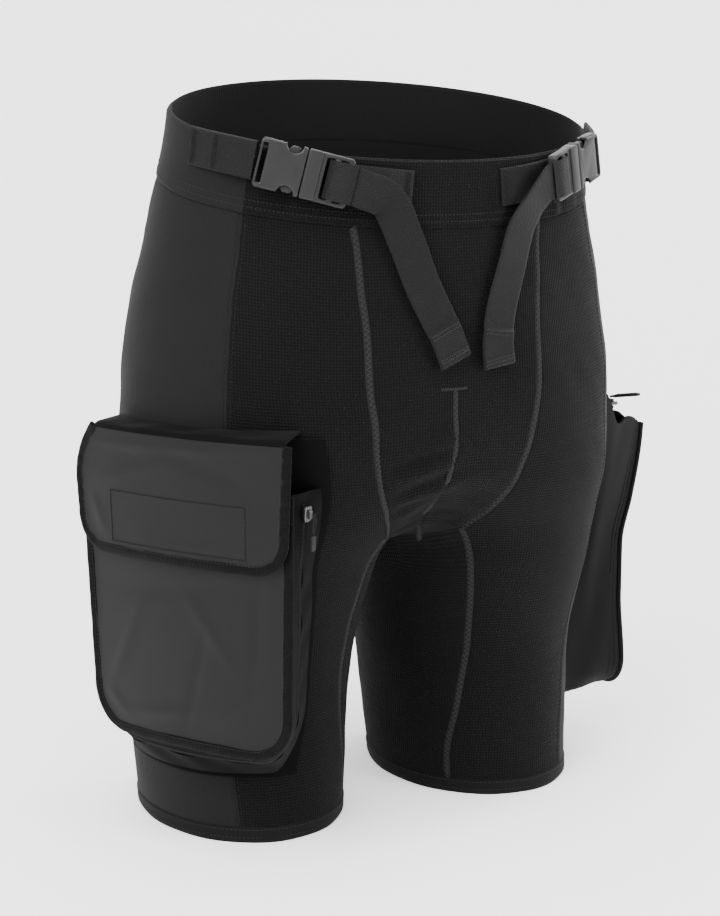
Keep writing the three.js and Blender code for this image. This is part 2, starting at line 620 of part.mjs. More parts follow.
// Stops along the U: fewer on its straight runs than in its bends.
const U_STOPS = [];
for (const [from, to, count] of [[0, RUN, 5], [RUN, RUN + BEND, 5], [RUN + BEND, 1 - RUN - BEND, 5],
  [1 - RUN - BEND, 1 - RUN, 5], [1 - RUN, 1, 5]]) {
  for (let i = 0; i < count; i++) U_STOPS.push(lerp(from, to, i / count));
}
U_STOPS.push(1);
const uStop = (t) => U_STOPS[Math.round(t * (U_STOPS.length - 1))];

const cargoTop = graded(CARGO_TOP);
const cargoBottom = graded(CARGO_BOTTOM);
const mouthTop = cargoTop - CARGO_MOUTH_DROP;
const faceEdge = (s, inset = 0) => uPath(s, (z) => cargoTaper(z) - inset, cargoBottom + inset, mouthTop,
  CARGO_CORNER - inset);

// The pocket's root on the leg: angles at the rear and the front edge, and the lowest height.
const CARGO_REAR = 99;
const ROOT_BOTTOM = 52;
const rootFront = smooth([[52, 2], [98, -4], [160, -1], [206, 6], [256, 17], [291, 26]]
  .map(([z, a]) => [graded(z), a]));
function rootPoint(s, lift) {
  const middleAngle = 50;
  const bottom = graded(ROOT_BOTTOM);
  const [x, z] = uPath(s, () => 1, 0, 1, 0.22);
  const height = lerp(bottom, mouthTop, z);
  const edgeAngle = x < 0 ? CARGO_REAR : rootFront(height);
  return onCloth(CARGO_SIDE, lerp(middleAngle, edgeAngle, Math.abs(x)), height, lift);
}
const ROOT_LIFT = FABRIC + 0.7;
const BACK_THICK = 1.5;
const GUSSET_LIFT = ROOT_LIFT + BACK_THICK + 2;

const cargoStops = stopsOnCloth(graded(ROOT_BOTTOM) - 4, cargoTop);
sheet('cargo_pocket_back', CORDURA, (u, v, w) => {
  const stop = cargoStops[Math.round(v * (cargoStops.length - 1))];
  const angle = lerp(CARGO_REAR + 3, rootFront(stop(50)) - 3, u);
  const z = stop(angle);
  return onCloth(CARGO_SIDE, angle, z, ROOT_LIFT + w * BACK_THICK);
}, 16, cargoStops.length - 1);

// Gusset between the root and the face, in three strips: cloth, zip and cloth.
function gussetStrip(name, material, from, to, thickness, lift = 0) {
  const steps = U_STOPS.length - 1;
  const surface = (s, t) => {
    const [a, z] = faceEdge(s, BINDING_WIDTH / 2);
    return mix(rootPoint(s, GUSSET_LIFT), onFace(a, z, -CARGO_FABRIC - 0.6), t);
  };
  sheet(name, material, (u, v, w) => {
    const s = uStop(v);
    const t = lerp(from, to, u);
    const along = surface(Math.min(1, s + 0.02), t).sub(surface(Math.max(0, s - 0.02), t));
    const across = surface(s, Math.min(1, t + 0.05)).sub(surface(s, Math.max(0, t - 0.05)));
    const normal = across.cross(along).normalize();
    return surface(s, t).addScaledVector(normal, lift + (w - 0.5) * thickness);
  }, 1, steps);
}
gussetStrip('cargo_pocket_gusset_inner', CORDURA, 0, 0.5, 1.4);
gussetStrip('cargo_pocket_zip', TRIM, 0.53, 0.72, 1.8);
gussetStrip('cargo_pocket_gusset_outer', CORDURA, 0.75, 1, 1.4);

sheet('cargo_pocket_face', CORDURA, (u, v, w) => {
  const inset = BINDING_WIDTH + 0.4;
  const rows = 12;
  const row = Math.round(v * rows);
  const bend = cargoBottom + CARGO_CORNER;
  const z = row <= 6
    ? bend - (CARGO_CORNER - inset) * Math.cos(rad(15 * row))
    : lerp(bend, mouthTop, (row - 6) / 6);
  const half = roundedHalf(cargoTaper(z) - inset, cargoBottom + inset, CARGO_CORNER - inset, z);
  const a = lerp(-half, half, u);
  return onFace(a, z, (w - 1) * CARGO_FABRIC);
}, 10, 12);

// Binding around the sides and bottom of a face. depth is the middle of its thickness.
function binding(name, edge, depth, thickness) {
  sheet(name, TRIM, (u, v, w) => {
    const [a, z, na, nz] = edge(uStop(v));
    const inward = u * BINDING_WIDTH;
    return onFace(a - na * inward, z - nz * inward, depth + (w - 0.5) * thickness);
  }, 1, U_STOPS.length - 1);
}
binding('cargo_pocket_binding', (s) => faceEdge(s), -CARGO_FABRIC / 2 + 0.4, BINDING_THICK - 1.8);

// Flap over the mouth, its binding, and the cloth that joins its top to the leg.
const flapDepth = FLAP_CLEARANCE;
const flapTop = cargoTop;
const flapBottom = flapTop - FLAP_LENGTH;
const flapHalf = (z) => halfCargo + 1.5 - 5 * clamp((flapTop - z) / FLAP_LENGTH, 0, 1);
const flapEdge = (s) => uPath(s, flapHalf, flapBottom, flapTop, CARGO_CORNER - 6);
sheet('cargo_flap', CORDURA, (u, v, w) => {
  const inset = BINDING_WIDTH + 0.4;
  const radius = CARGO_CORNER - 6;
  const rows = 9;
  const row = Math.round(v * rows);
  const bend = flapBottom + radius;
  const z = row <= 5 ? bend - (radius - inset) * Math.cos(rad(18 * row)) : lerp(bend, flapTop, (row - 5) / 4);
  const half = roundedHalf(flapHalf(z) - inset, flapBottom + inset, radius - inset, z);
  return onFace(lerp(-half, half, u), z, flapDepth + w * CARGO_FABRIC);
}, 10, 9);
binding('cargo_flap_binding', flapEdge, flapDepth + CARGO_FABRIC / 2, BINDING_THICK - 1.2);

sheet('cargo_pocket_top', CORDURA, (u, v, w) => {
  const a = lerp(-halfCargo, halfCargo, u) * 0.96;
  const z = cargoTop + 0.6;
  const outer = onFace(a, z, flapDepth + CARGO_FABRIC);
  const angle = lerp(CARGO_REAR - 4, rootFront(cargoTop) + 3, u);
  const inner = skin(CARGO_SIDE, angle, z, FABRIC + 0.6);
  return mix(inner, outer, v).add(vec(0, 0, w * CARGO_FABRIC + 3 * (1 - v)));
}, 10, 3);

// Hook patch inside the flap and loop patch on the face.
const patchMiddle = flapTop - 58;
function patch(name, depth) {
  sheet(name, TRIM, (u, v, w) => onFace(8 + (u - 0.5) * PATCH_WIDTH,
    patchMiddle + (v - 0.5) * PATCH_HEIGHT, depth + w * PATCH_THICK), 6, 1);
}
patch('cargo_pocket_loop_patch', 0.3);
patch('cargo_flap_hook_patch', flapDepth - 0.3 - PATCH_THICK);

// The zip's slider stands at the top of the front run, its pull hanging from it.
{
  const place = (s) => {
    const [a, z] = faceEdge(s, BINDING_WIDTH / 2);
    return mix(rootPoint(s, GUSSET_LIFT), onFace(a, z, -CARGO_FABRIC - 0.6), 0.625);
  };
  const top = place(0.975);
  const low = place(0.74);
  const down = low.clone().sub(top).normalize();
  const [a, z] = faceEdge(0.95, BINDING_WIDTH / 2);
  const across = onFace(a, z).sub(rootPoint(0.95, ROOT_LIFT)).normalize();
  const out = across.clone().cross(down).normalize();
  if (out.dot(ahead) < 0) out.negate();
  const side = out.clone().cross(down).normalize();
  const origin = top.clone().addScaledVector(out, 2.2);
  const frame = new THREE.Matrix4().makeBasis(down, side, out).setPosition(origin);
  const hang = new THREE.Matrix4().makeBasis(down, side, out)
    .setPosition(origin.clone().addScaledVector(out, SLIDER.thick + 1.5).addScaledVector(down, -1));
  zipSlider('cargo_pocket', frame, hang);
}

// ---- Bellows pocket on the left thigh ----------------------------------------------------
const SIDE_FRONT = 79;
const SIDE_REAR = 126;
const sideTop = graded(SIDE_POCKET_TOP);
const sideBottom = graded(SIDE_POCKET_BOTTOM);
const sideThigh = section(graded(190)).centre + section(graded(190)).halfWidth + FABRIC;
const sideWave = smooth([[30, -2], [50, -3], [74, -4], [123, -8], [163, -8], [202, 1], [240, 8], [262, 10]]
  .map(([z, x]) => [graded(z), x]));
const sideMiddle = skin(1, 100, graded(150)).y + 6;
const sideFaceX = (z) => sideThigh + SIDE_POCKET_DEPTH - 2 + sideWave(z);
const sideCorner = 26;
const sideHalf = SIDE_POCKET_WIDTH / 2;
const sideEdge = (s, inset = 0) => uPath(1 - s, () => sideHalf - inset, sideBottom + inset, sideTop,
  sideCorner - inset);
const onSide = (a, z, depth = 0) => vec(sideFaceX(z) + depth, sideMiddle - a, z);
function sideRoot(s, lift) {
  const [x, z] = uPath(1 - s, () => 1, 0, 1, 0.16);
  const height = lerp(graded(40), graded(292), z);
  const middleAngle = (SIDE_FRONT + SIDE_REAR) / 2;
  return onCloth(1, lerp(middleAngle, x > 0 ? SIDE_FRONT : SIDE_REAR, Math.abs(x)), height, lift);
}

const sideStops = stopsOnCloth(graded(31), graded(306));
sheet('side_pocket_back', SMOOTH, (u, v, w) => {
  const ends = 5 * Math.abs(2 * v - 1) ** 6;
  const angle = lerp(SIDE_FRONT - 7 + ends, SIDE_REAR + 7 - ends, u);
  const z = sideStops[Math.round(v * (sideStops.length - 1))](angle);
  return onCloth(1, angle, z, ROOT_LIFT + w * BACK_THICK);
}, 10, sideStops.length - 1);

// The wall of the bellows: front, bottom and rear. Its top edge dips where the zip ends.
const sideWall = (s, t) => {
  const [a, z] = sideEdge(s, BINDING_WIDTH / 2);
  const p = mix(sideRoot(s, GUSSET_LIFT), onSide(a, z, -CARGO_FABRIC - 1), t);
  const high = clamp((s < 0.5 ? RUN - s : s - 1 + RUN) / RUN, 0, 1) ** 4;
  p.z -= 16 * high * Math.exp(-(((t - 0.45) / 0.2) ** 2));
  return p;
};
sheet('side_pocket_wall', SMOOTH, (u, v, w) => {
  const s = uStop(v);
  const along = sideWall(Math.min(1, s + 0.02), u).sub(sideWall(Math.max(0, s - 0.02), u));
  const across = sideWall(s, Math.min(1, u + 0.05)).sub(sideWall(s, Math.max(0, u - 0.05)));
  return sideWall(s, u).addScaledVector(across.cross(along).normalize(), (w - 0.5) * 2);
}, 6, U_STOPS.length - 1);

sheet('side_pocket_face', SMOOTH, (u, v, w) => {
  const inset = BINDING_WIDTH + 0.4;
  const row = Math.round(v * 12);
  const bend = sideBottom + sideCorner;
  const z = row <= 5 ? bend - (sideCorner - inset) * Math.cos(rad(18 * row)) : lerp(bend, sideTop, (row - 5) / 7);
  const half = roundedHalf(sideHalf - inset, sideBottom + inset, sideCorner - inset, z);
  return onSide(lerp(-half, half, u), z, (w - 1) * CARGO_FABRIC);
}, 6, 12);

sheet('side_pocket_binding', TRIM, (u, v, w) => {
  const [a, z, na, nz] = sideEdge(uStop(v));
  const inward = u * BINDING_WIDTH;
  return onSide(a - na * inward, z - nz * inward, -CARGO_FABRIC / 2 + (w - 0.5) * 2.6);
}, 1, U_STOPS.length - 1);

// The mouth: two zip tapes across the top with the open slit between them.
const SLIT_AT = 0.47;          // share of the way from the leg to the face
const mouthInset = 2.6;
function mouthPoint(t, u) {
  const [front, rear] = [sideWall(0, t), sideWall(1, t)];
  const z = lerp(sideRoot(0, 0).z, sideTop, t) - 6;
  const run = rear.clone().sub(front).setZ(0);
  const p = front.addScaledVector(run.normalize(), lerp(mouthInset, rear.distanceTo(front) - mouthInset, u));
  const s = section(p.z);
  const legX = s.centre + s.halfWidth * Math.sqrt(1 - ((p.y - s.middle) / s.halfDepth) ** 2)
    + GUSSET_LIFT + 1;
  return vec(Math.max(p.x, t < SLIT_AT ? legX : 0), p.y, z);
}
const slitHalf = SIDE_SLIT / 2 / SIDE_POCKET_DEPTH;
sheet('side_pocket_tape_outer', TRIM, (u, v, w) => mouthPoint(lerp(SLIT_AT + slitHalf, 0.95, v), u)
  .add(vec(0, 0, 1.6 * w)), 6, 1);
sheet('side_pocket_tape_inner', TRIM, (u, v, w) => mouthPoint(lerp(SLIT_AT - slitHalf, 0.05, v), u)
  .add(vec(0, 0, 1.6 * w)), 8, 2);
{
  const back = mouthPoint(SLIT_AT, 1).sub(mouthPoint(SLIT_AT, 0)).normalize();
  const out = vec(0, 0, 1);
  const side = out.clone().cross(back).normalize();
  const origin = mouthPoint(SLIT_AT, 0).addScaledVector(back, SLIDER.long / 2 + 1).add(vec(0, 0, 4.2));
  const frame = new THREE.Matrix4().makeBasis(back, side, back.clone().cross(side)).setPosition(origin);
  const forward = vec(0.35, -0.9, 0.15).normalize();
  const across = vec(0, 0, 1).cross(forward).normalize();
  const hang = new THREE.Matrix4().makeBasis(forward, across, forward.clone().cross(across))
    .setPosition(origin.clone().add(vec(0, 0, SLIDER.thick + 1.5)));
  zipSlider('side_pocket', frame, hang);
}

// The origin is on the ground under the middle of the whole piece.
const whole = new THREE.Box3().setFromObject(shorts);
const centre = whole.getCenter(new THREE.Vector3());
shorts.position.set(-centre.x, -centre.y, -whole.min.z);

export default shorts;
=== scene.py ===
# %% [markdown]
# # Black stretch sport shorts with two thigh pockets
# The shorts stand as if someone wore them. Their cloth panels, straps, buckles and pockets
# are made one after another, each from a rule that a pattern cutter would know: where the
# body's surface is, and where the seams run on it.

# %% Load the frame
import bmesh
import bpy
import numpy as np
from mathutils import Matrix, Vector
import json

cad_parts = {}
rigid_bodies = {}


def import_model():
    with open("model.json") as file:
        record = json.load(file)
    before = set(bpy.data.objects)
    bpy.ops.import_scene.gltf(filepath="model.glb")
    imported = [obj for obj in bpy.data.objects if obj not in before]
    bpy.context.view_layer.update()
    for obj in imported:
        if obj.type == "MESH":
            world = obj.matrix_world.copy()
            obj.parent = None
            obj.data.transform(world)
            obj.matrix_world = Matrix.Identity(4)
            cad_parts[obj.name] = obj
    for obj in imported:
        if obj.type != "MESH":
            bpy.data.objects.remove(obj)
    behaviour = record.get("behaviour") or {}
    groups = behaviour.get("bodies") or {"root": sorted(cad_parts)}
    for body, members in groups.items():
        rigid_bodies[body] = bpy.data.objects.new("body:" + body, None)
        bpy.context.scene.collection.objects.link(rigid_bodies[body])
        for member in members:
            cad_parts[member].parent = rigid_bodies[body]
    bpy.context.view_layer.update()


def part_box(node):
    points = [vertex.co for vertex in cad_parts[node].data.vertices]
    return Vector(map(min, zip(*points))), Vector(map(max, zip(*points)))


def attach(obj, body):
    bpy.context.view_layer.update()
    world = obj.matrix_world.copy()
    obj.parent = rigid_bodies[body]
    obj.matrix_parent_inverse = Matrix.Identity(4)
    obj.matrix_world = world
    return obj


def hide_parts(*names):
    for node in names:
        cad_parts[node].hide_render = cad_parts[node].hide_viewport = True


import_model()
MM = 0.001
BODY = "shorts"

# %% [markdown]
# The camera comes first. It looks at the middle of the shorts from the wearer's front
# right, a little above the waist, with a long lens so that the legs stay upright. The
# pieces are placed from the leg hems of the CAD model, which give the middle of the body.

# %% Middle of the body, and the camera
hem_low = np.array(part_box("hem_band_right")[0])
far_high = np.array(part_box("hem_band_left")[1])
HEM_REACH = 86 + 3.4 - 24
MIDDLE = np.array([(hem_low[0] + far_high[0]) / 2, hem_low[1] + HEM_REACH * MM, 0.0])

AZIMUTH, ELEVATION, DISTANCE = np.radians(-29), np.radians(10.8), 1.4
target = Vector((MIDDLE[0], MIDDLE[1], 0.25))
back = Vector((np.sin(AZIMUTH) * np.cos(ELEVATION), -np.cos(AZIMUTH) * np.cos(ELEVATION),
               np.sin(ELEVATION)))
camera_data = bpy.data.cameras.new("camera")
camera_data.lens = 75.85
camera_data.shift_x = -0.012
camera_data.shift_y = 0.001
camera = bpy.data.objects.new("camera", camera_data)
bpy.context.scene.collection.objects.link(camera)
camera.location = target + back * DISTANCE
camera.rotation_euler = back.to_track_quat("Z", "Y").to_euler()
bpy.context.scene.camera = camera
print("middle of the body:", MIDDLE)

# %% [markdown]
# ## Cloth and plastic
# Every finish is built from a few shader nodes. A knit or a weave is a height pattern on the
# piece's own UV map, which is laid out in millimetres, so threads keep their true pitch. The
# same pattern paints shade into the gaps between threads, darkening them a little.

# %% Node helpers
def new_material(name):
    material = bpy.data.materials.new(name)
    material.use_nodes = True
    tree = material.node_tree
    shader = tree.nodes["Principled BSDF"]
    return material, tree, shader


def math(tree, operation, a, b=None, c=None):
    node = tree.nodes.new("ShaderNodeMath")
    node.operation = operation
    for socket, value in zip(node.inputs, (a, b, c)):
        if value is None:
            continue
        if isinstance(value, (int, float)):
            socket.default_value = value
        else:
            tree.links.new(value, socket)
    return node.outputs[0]


def cloth_uv(tree, turn=0.0):
    uv = tree.nodes.new("ShaderNodeUVMap")
    uv.uv_map = "millimetres"
    mapping = tree.nodes.new("ShaderNodeMapping")
    mapping.inputs["Rotation"].default_value[2] = np.radians(turn)
    tree.links.new(uv.outputs[0], mapping.inputs[0])
    split = tree.nodes.new("ShaderNodeSeparateXYZ")
    tree.links.new(mapping.outputs[0], split.inputs[0])
    return split.outputs[0], split.outputs[1], mapping.outputs[0]


def ridge(tree, coordinate, pitch, power=1.0):
    wave = math(tree, "ABSOLUTE", math(tree, "SINE", math(tree, "MULTIPLY", coordinate, np.pi / pitch)))
    return wave if power == 1.0 else math(tree, "POWER", wave, power)


def noise(tree, scale, detail=3.0, vector=None, roughness=0.55):
    node = tree.nodes.new("ShaderNodeTexNoise")
    node.inputs["Scale"].default_value = scale
    node.inputs["Detail"].default_value = detail
    node.inputs["Roughness"].default_value = roughness
    if vector is None:
        coordinates = tree.nodes.new("ShaderNodeTexCoord")
        vector = coordinates.outputs["Object"]
    tree.links.new(vector, node.inputs["Vector"])
    return node.outputs["Fac"]


def blend_colour(tree, factor, dark, light):
    mix = tree.nodes.new("ShaderNodeMix")
    mix.data_type = "RGBA"
    tree.links.new(factor, mix.inputs["Factor"])
    mix.inputs["A"].default_value = (*dark, 1)
    mix.inputs["B"].default_value = (*light, 1)
    return mix.outputs["Result"]


def grey(value, tint=0.0):
    return (value * (1 - tint), value, value * (1 + tint))


def cloth(name, pattern, dark, light, roughness=0.85, bump=0.4, relief=0.0003, sheen=0.02, fleck=0.35,
          turn=0.0, fleck_scale=900, specular=0.14):
    """A cloth: pattern gives its thread height from 0 to 1 for the two UV coordinates."""
    material, tree, shader = new_material(name)
    across, along, vector = cloth_uv(tree, turn)
    height = pattern(tree, across, along)
    fibre = noise(tree, fleck_scale, 2.0)
    broad = noise(tree, 14, 3.0)
    # painted shade: the thread height darkens the gaps between threads; the fibre and broad noise are the
    # yarn's own uneven tone
    shade = math(tree, "ADD", math(tree, "MULTIPLY", height, 1 - fleck),
                 math(tree, "MULTIPLY", fibre, fleck))
    shade = math(tree, "MULTIPLY", shade, math(tree, "ADD", math(tree, "MULTIPLY", broad, 0.5), 0.75))
    tree.links.new(blend_colour(tree, shade, grey(dark), grey(light)), shader.inputs["Base Color"])
    shader.inputs["Roughness"].default_value = roughness
    shader.inputs["Specular IOR Level"].default_value = specular
    shader.inputs["Sheen Weight"].default_value = sheen
    shader.inputs["Sheen Roughness"].default_value = 0.5
    bump_node = tree.nodes.new("ShaderNodeBump")
    bump_node.inputs["Strength"].default_value = bump
    bump_node.inputs["Distance"].default_value = relief
    tree.links.new(height, bump_node.inputs["Height"])
    tree.links.new(bump_node.outputs[0], shader.inputs["Normal"])
    return material

# %% [markdown]
# The waffle knit of the front, centre and inner leg is a small square grid of raised yarn.
# The side and seat cloth has fine upright ribs. The pocket is coated nylon, whose weave is
# barely seen, and the straps are a diagonal twill. Binding tape has ribs across its width.

# %% Thread patterns
def waffle(tree, across, along):
    return math(tree, "MAXIMUM", ridge(tree, across, 2.1, 2.2), ridge(tree, along, 2.1, 2.2))


def ribs(tree, across, along):
    fine = ridge(tree, along, 0.9)
    return math(tree, "ADD", math(tree, "MULTIPLY", ridge(tree, across, 2.0, 0.7), 0.8),
                math(tree, "MULTIPLY", fine, 0.2))


def plain_weave(tree, across, along):
    return math(tree, "MULTIPLY", ridge(tree, across, 0.55, 0.6), ridge(tree, along, 0.55, 0.6))


def twill(tree, across, along):
    diagonal = math(tree, "ADD", along, math(tree, "MULTIPLY", across, 0.8))
    rows = ridge(tree, diagonal, 1.7, 0.8)
    return math(tree, "MULTIPLY", rows, math(tree, "ADD", math(tree, "MULTIPLY",
                ridge(tree, across, 1.1, 0.6), 0.45), 0.55))


def cross_ribs(tree, across, along):
    return ridge(tree, along, 1.1, 0.8)


def loops(tree, across, along):
    return math(tree, "MULTIPLY", ridge(tree, across, 1.3), ridge(tree, along, 1.3))


WAFFLE = cloth("waffle_knit", waffle, 0.0004, 0.0052, bump=0.85, relief=0.0007, specular=0.05)
RIBBED = cloth("ribbed_stretch", ribs, 0.0022, 0.0062, bump=0.5, relief=0.0003, specular=0.12)
CORDURA = cloth("coated_nylon", plain_weave, 0.0020, 0.0050, roughness=0.58, bump=0.3, relief=0.0002,
                specular=0.15)
# A darker copy of the coated nylon: painted shade for the gusset, backing and top of the cargo pocket, which
# lie in shade.
SHADED_NYLON = cloth("coated_nylon_painted_shade", plain_weave, 0.0006, 0.0018, roughness=0.8, bump=0.2, relief=0.0002,
               specular=0.04)
FACING = cloth("pocket_neoprene", plain_weave, 0.0026, 0.0052, roughness=0.8, bump=0.15, relief=0.0002)
BINDING = cloth("ribbed_binding", cross_ribs, 0.0003, 0.0022, roughness=0.75, bump=0.8, relief=0.0005,
                specular=0.06)
HEM = cloth("hem_facing", ribs, 0.0014, 0.0045, bump=0.3, specular=0.1)
WEB = cloth("twill_webbing", twill, 0.0003, 0.0028, roughness=0.55, bump=0.8, relief=0.0005, specular=0.14)
HOOK = cloth("hook_and_loop", loops, 0.0006, 0.003, roughness=0.95, bump=0.9, relief=0.0008)
SEAM_TAPE = cloth("seam_thread_bed", cross_ribs, 0.0024, 0.0080, roughness=0.8, bump=0.5, relief=0.0003)
TAPE = cloth("zip_tape", cross_ribs, 0.0004, 0.002, roughness=0.8, bump=0.4, specular=0.05)


def plain(name, colour, roughness, metallic=0.0, grain=500, relief=0.00004, coat=0.0):
    """Moulded plastic, thread or metal: a colour with a fine surface grain."""
    material, tree, shader = new_material(name)
    texture = noise(tree, grain, 3.0)
    broad = noise(tree, 30, 2.0)
    shade = math(tree, "ADD", math(tree, "MULTIPLY", texture, 0.5), math(tree, "MULTIPLY", broad, 0.5))
    low = tuple(c * 0.8 for c in grey(colour))
    high = tuple(c * 1.25 for c in grey(colour))
    tree.links.new(blend_colour(tree, shade, low, high), shader.inputs["Base Color"])
    rough = math(tree, "ADD", math(tree, "MULTIPLY", texture, 0.12), roughness - 0.06)
    tree.links.new(rough, shader.inputs["Roughness"])
    shader.inputs["Metallic"].default_value = metallic
    shader.inputs["Specular IOR Level"].default_value = 0.22
    shader.inputs["Coat Weight"].default_value = coat
    bump_node = tree.nodes.new("ShaderNodeBump")
    bump_node.inputs["Strength"].default_value = 0.4
    bump_node.inputs["Distance"].default_value = relief
    tree.links.new(texture, bump_node.inputs["Height"])
    tree.links.new(bump_node.outputs[0], shader.inputs["Normal"])
    return material


ACETAL = plain("moulded_acetal", 0.014, 0.36)
METAL = plain("dark_zip_metal", 0.08, 0.36, metallic=1.0)
THREAD_DARK = plain("dark_thread", 0.0005, 0.7, grain=2500)
THREAD_GREY = plain("grey_thread", 0.015, 0.75, grain=2500)
THREAD_MID = plain("mid_thread", 0.009, 0.75, grain=2500)
RUBBER = plain("soft_pull_rubber", 0.006, 0.6)
print("materials:", len(bpy.data.materials))

# %% [markdown]
# ## The body
# The wearer's body is a stack of ellipses. Under the crotch there is one for each leg, and
# the two slide together over the hips until they are one at the waist. A point of the cloth
# is a side, an angle round the leg and a height. Everything else is placed with that rule.

# %% The body's surface
STANDARD_SECTIONS = [  # height, outer half width, leg half width, leg half depth, leg middle y
    (0, 165, 68, 86, 24), (95, 169.8, 75, 89.4, 30), (190, 179, 88, 103, 19), (250, 183, 118, 116, 8),
    (310, 182, 151.1, 120, 1), (370, 175.1, 167, 117, 0), (415, 164.9, 164.9, 111.2, -3),
    (430, 161.9, 161.9, 109, -4), (480, 154, 154, 103, -13), (525, 150, 150, 101, -21)]


def smooth(marks):
    """A curve through (where, value) marks that never overshoots between two of them."""
    x, y = (np.array(v, float) for v in zip(*marks))
    step = np.diff(x)
    slope = np.diff(y) / step
    product = slope[:-1] * slope[1:]
    total = np.where(slope[:-1] + slope[1:] == 0, 1, slope[:-1] + slope[1:])
    inner = np.where(product <= 0, 0, 2 * product / total)
    tangent = np.concatenate([[slope[0]], inner, [slope[-1]]])

    def value(at):
        p = np.clip(at, x[0], x[-1])
        i = np.clip(np.searchsorted(x, p, side="left") - 1, 0, len(x) - 2)
        t = (p - x[i]) / step[i]
        return (y[i] * (1 + 2 * t) * (1 - t) ** 2 + y[i + 1] * t * t * (3 - 2 * t)
                + step[i] * (tangent[i] * t * (1 - t) ** 2 - tangent[i + 1] * t * t * (1 - t)))
    return value


section_curves = [smooth([(row[0], row[k]) for row in STANDARD_SECTIONS]) for k in (1, 2, 3, 4)]


def section(z):
    outer, half_width, half_depth, middle = (curve(z) for curve in section_curves)
    return np.maximum(0, outer - half_width), half_width, half_depth, middle


def skin(side, angle, z, lift=0.0):
    """Points of the body in mm, lift out from it. Angle 0 is in front and 90 at the outside."""
    angle, z, lift, side = np.broadcast_arrays(np.asarray(angle, float), z, lift, side)
    centre, half_width, half_depth, middle = section(z)
    a = np.radians(angle)
    nx, ny = half_depth * np.sin(a), -half_width * np.cos(a)
    size = np.hypot(nx, ny)
    x = side * (centre + half_width * np.sin(a) + lift * nx / size)
    y = middle - half_depth * np.cos(a) + lift * ny / size
    return np.stack([x, y, z + 0.0], axis=-1)


def out_of(side, angle, z):
    away = skin(side, angle, z, 1.0) - skin(side, angle, z, 0.0)
    return away / np.linalg.norm(away, axis=-1, keepdims=True)


def falls_to_zero(value, low, high, like):
    low, high = np.full(like.shape, float(low)), np.full(like.shape, float(high))
    for _ in range(30):
        middle = (low + high) / 2
        above = value(middle) > 0
        low, high = np.where(above, middle, low), np.where(above, high, middle)
    return (low + high) / 2


FABRIC = 3.0
INSEAM, RISE = 195, 273
SEAM_GAP = -0.2  # the edges lap a little, so that no light comes through a seam
BACK_INNER_SEAM, CROTCH_END = -140, -65.8
WAISTBAND_HEIGHT, HEM_HEIGHT = 45, 12


def meeting_height(angle):
    angle = np.asarray(angle, float)
    return falls_to_zero(lambda z: skin(1, angle, z, FABRIC)[..., 0] - 0.15, 130, 330, angle)


def meeting_angle(z):
    z = np.asarray(z, float)
    return falls_to_zero(lambda a: skin(1, a, z, FABRIC)[..., 0] - 0.15, 150, 262, z)


centre_seam = smooth([(211, -34), (230, -18), (250, -6), (285, 7), (320, 14.5), (380, 21.5), (440, 27)])
inner_seam = smooth([(0, -47), (27, -46), (70, -38), (120, -32), (205, -33.5), (211, -34)])
side_seam = smooth([(0, 29), (36, 31), (296, 50), (366, 53), (440, 54.6), (525, 55)])
back_seam = smooth([(0, 124), (250, 120), (468, 122), (525, 122)])
pouch_seam = smooth([(CROTCH_END, 196.5), (-60, 199), (-50, 203.5), (-34, 211)])


def inner_top(angle):
    return np.where(angle >= CROTCH_END - 1, np.minimum(pouch_seam(angle), meeting_height(angle)),
                    meeting_height(angle))


def rim(angle):
    angle = np.asarray(angle, float)
    z = np.full(angle.shape, 500.0)
    front = skin(1, 0, INSEAM + RISE)[..., 1]
    for _ in range(4):
        z = INSEAM + RISE + 0.27 * (skin(1, angle, z)[..., 1] - front)
    return z


def waist_seam(angle):
    return rim(angle) - WAISTBAND_HEIGHT


# %% [markdown]
# ## Rows and seams
# The panels share their rows: row 5 is at the top of the straight leg, row 7 at the crotch
# and row 14 at the waistband. Two panels that are sewn together then meet at every row.

# %% Rows of the panels
LEG_ROWS, CROTCH_ROW, TOP_ROW, LEG_TOP = 5, 7, 14, 172
crotch_line = smooth([(-60, 211), (40, 211), (122, 222),
                      (360 + BACK_INNER_SEAM, float(inner_top(np.array(BACK_INNER_SEAM))))])


def row_height(row, angle):
    crotch = crotch_line(angle)
    leg = HEM_HEIGHT + SEAM_GAP + (LEG_TOP - HEM_HEIGHT - SEAM_GAP) * row / LEG_ROWS
    under = LEG_TOP + (crotch - LEG_TOP) * (row - LEG_ROWS) / (CROTCH_ROW - LEG_ROWS)
    over = crotch + (waist_seam(angle) - crotch) * (row - CROTCH_ROW) / (TOP_ROW - CROTCH_ROW)
    return np.where(row <= LEG_ROWS, leg, np.where(row <= CROTCH_ROW, under, over))


def seam_at(seam, row):
    angle = seam(row_height(row, np.full(np.shape(row), 60.0)))
    for _ in range(6):
        angle = seam(row_height(row, angle))
    return angle


def thigh_front(z):
    return np.where(z < 211, inner_seam(z), centre_seam(z))


def seat_end(z):
    return np.minimum(360 + BACK_INNER_SEAM, meeting_angle(np.maximum(z, 200)))


def degrees_for(length, z):
    return np.degrees(length / section(z)[2])


# %% [markdown]
# ## A sheet with thickness
# Each piece of cloth is a grid of points with an inner and an outer face and a wall round
# its edge. The UV map is the distance in millimetres along the grid, so that a weave keeps
# its pitch. Soft waves are added to the points before the faces are made.

# %% Sheet maker
def to_object(name, points, faces, material, uv=None, sharp=50):
    mesh = bpy.data.meshes.new(name)
    mesh.from_pydata((np.asarray(points) * MM + MIDDLE).tolist(), [], faces)
    if uv is not None:
        layer = mesh.uv_layers.new(name="millimetres")
        index = np.zeros(len(mesh.loops), dtype=np.int32)
        mesh.loops.foreach_get("vertex_index", index)
        layer.data.foreach_set("uv", np.asarray(uv, np.float32)[index].ravel())
    mesh.shade_smooth()
    mesh.set_sharp_from_angle(angle=np.radians(sharp))
    mesh.materials.append(material)
    obj = bpy.data.objects.new(name, mesh)
    bpy.context.scene.collection.objects.link(obj)
    return obj


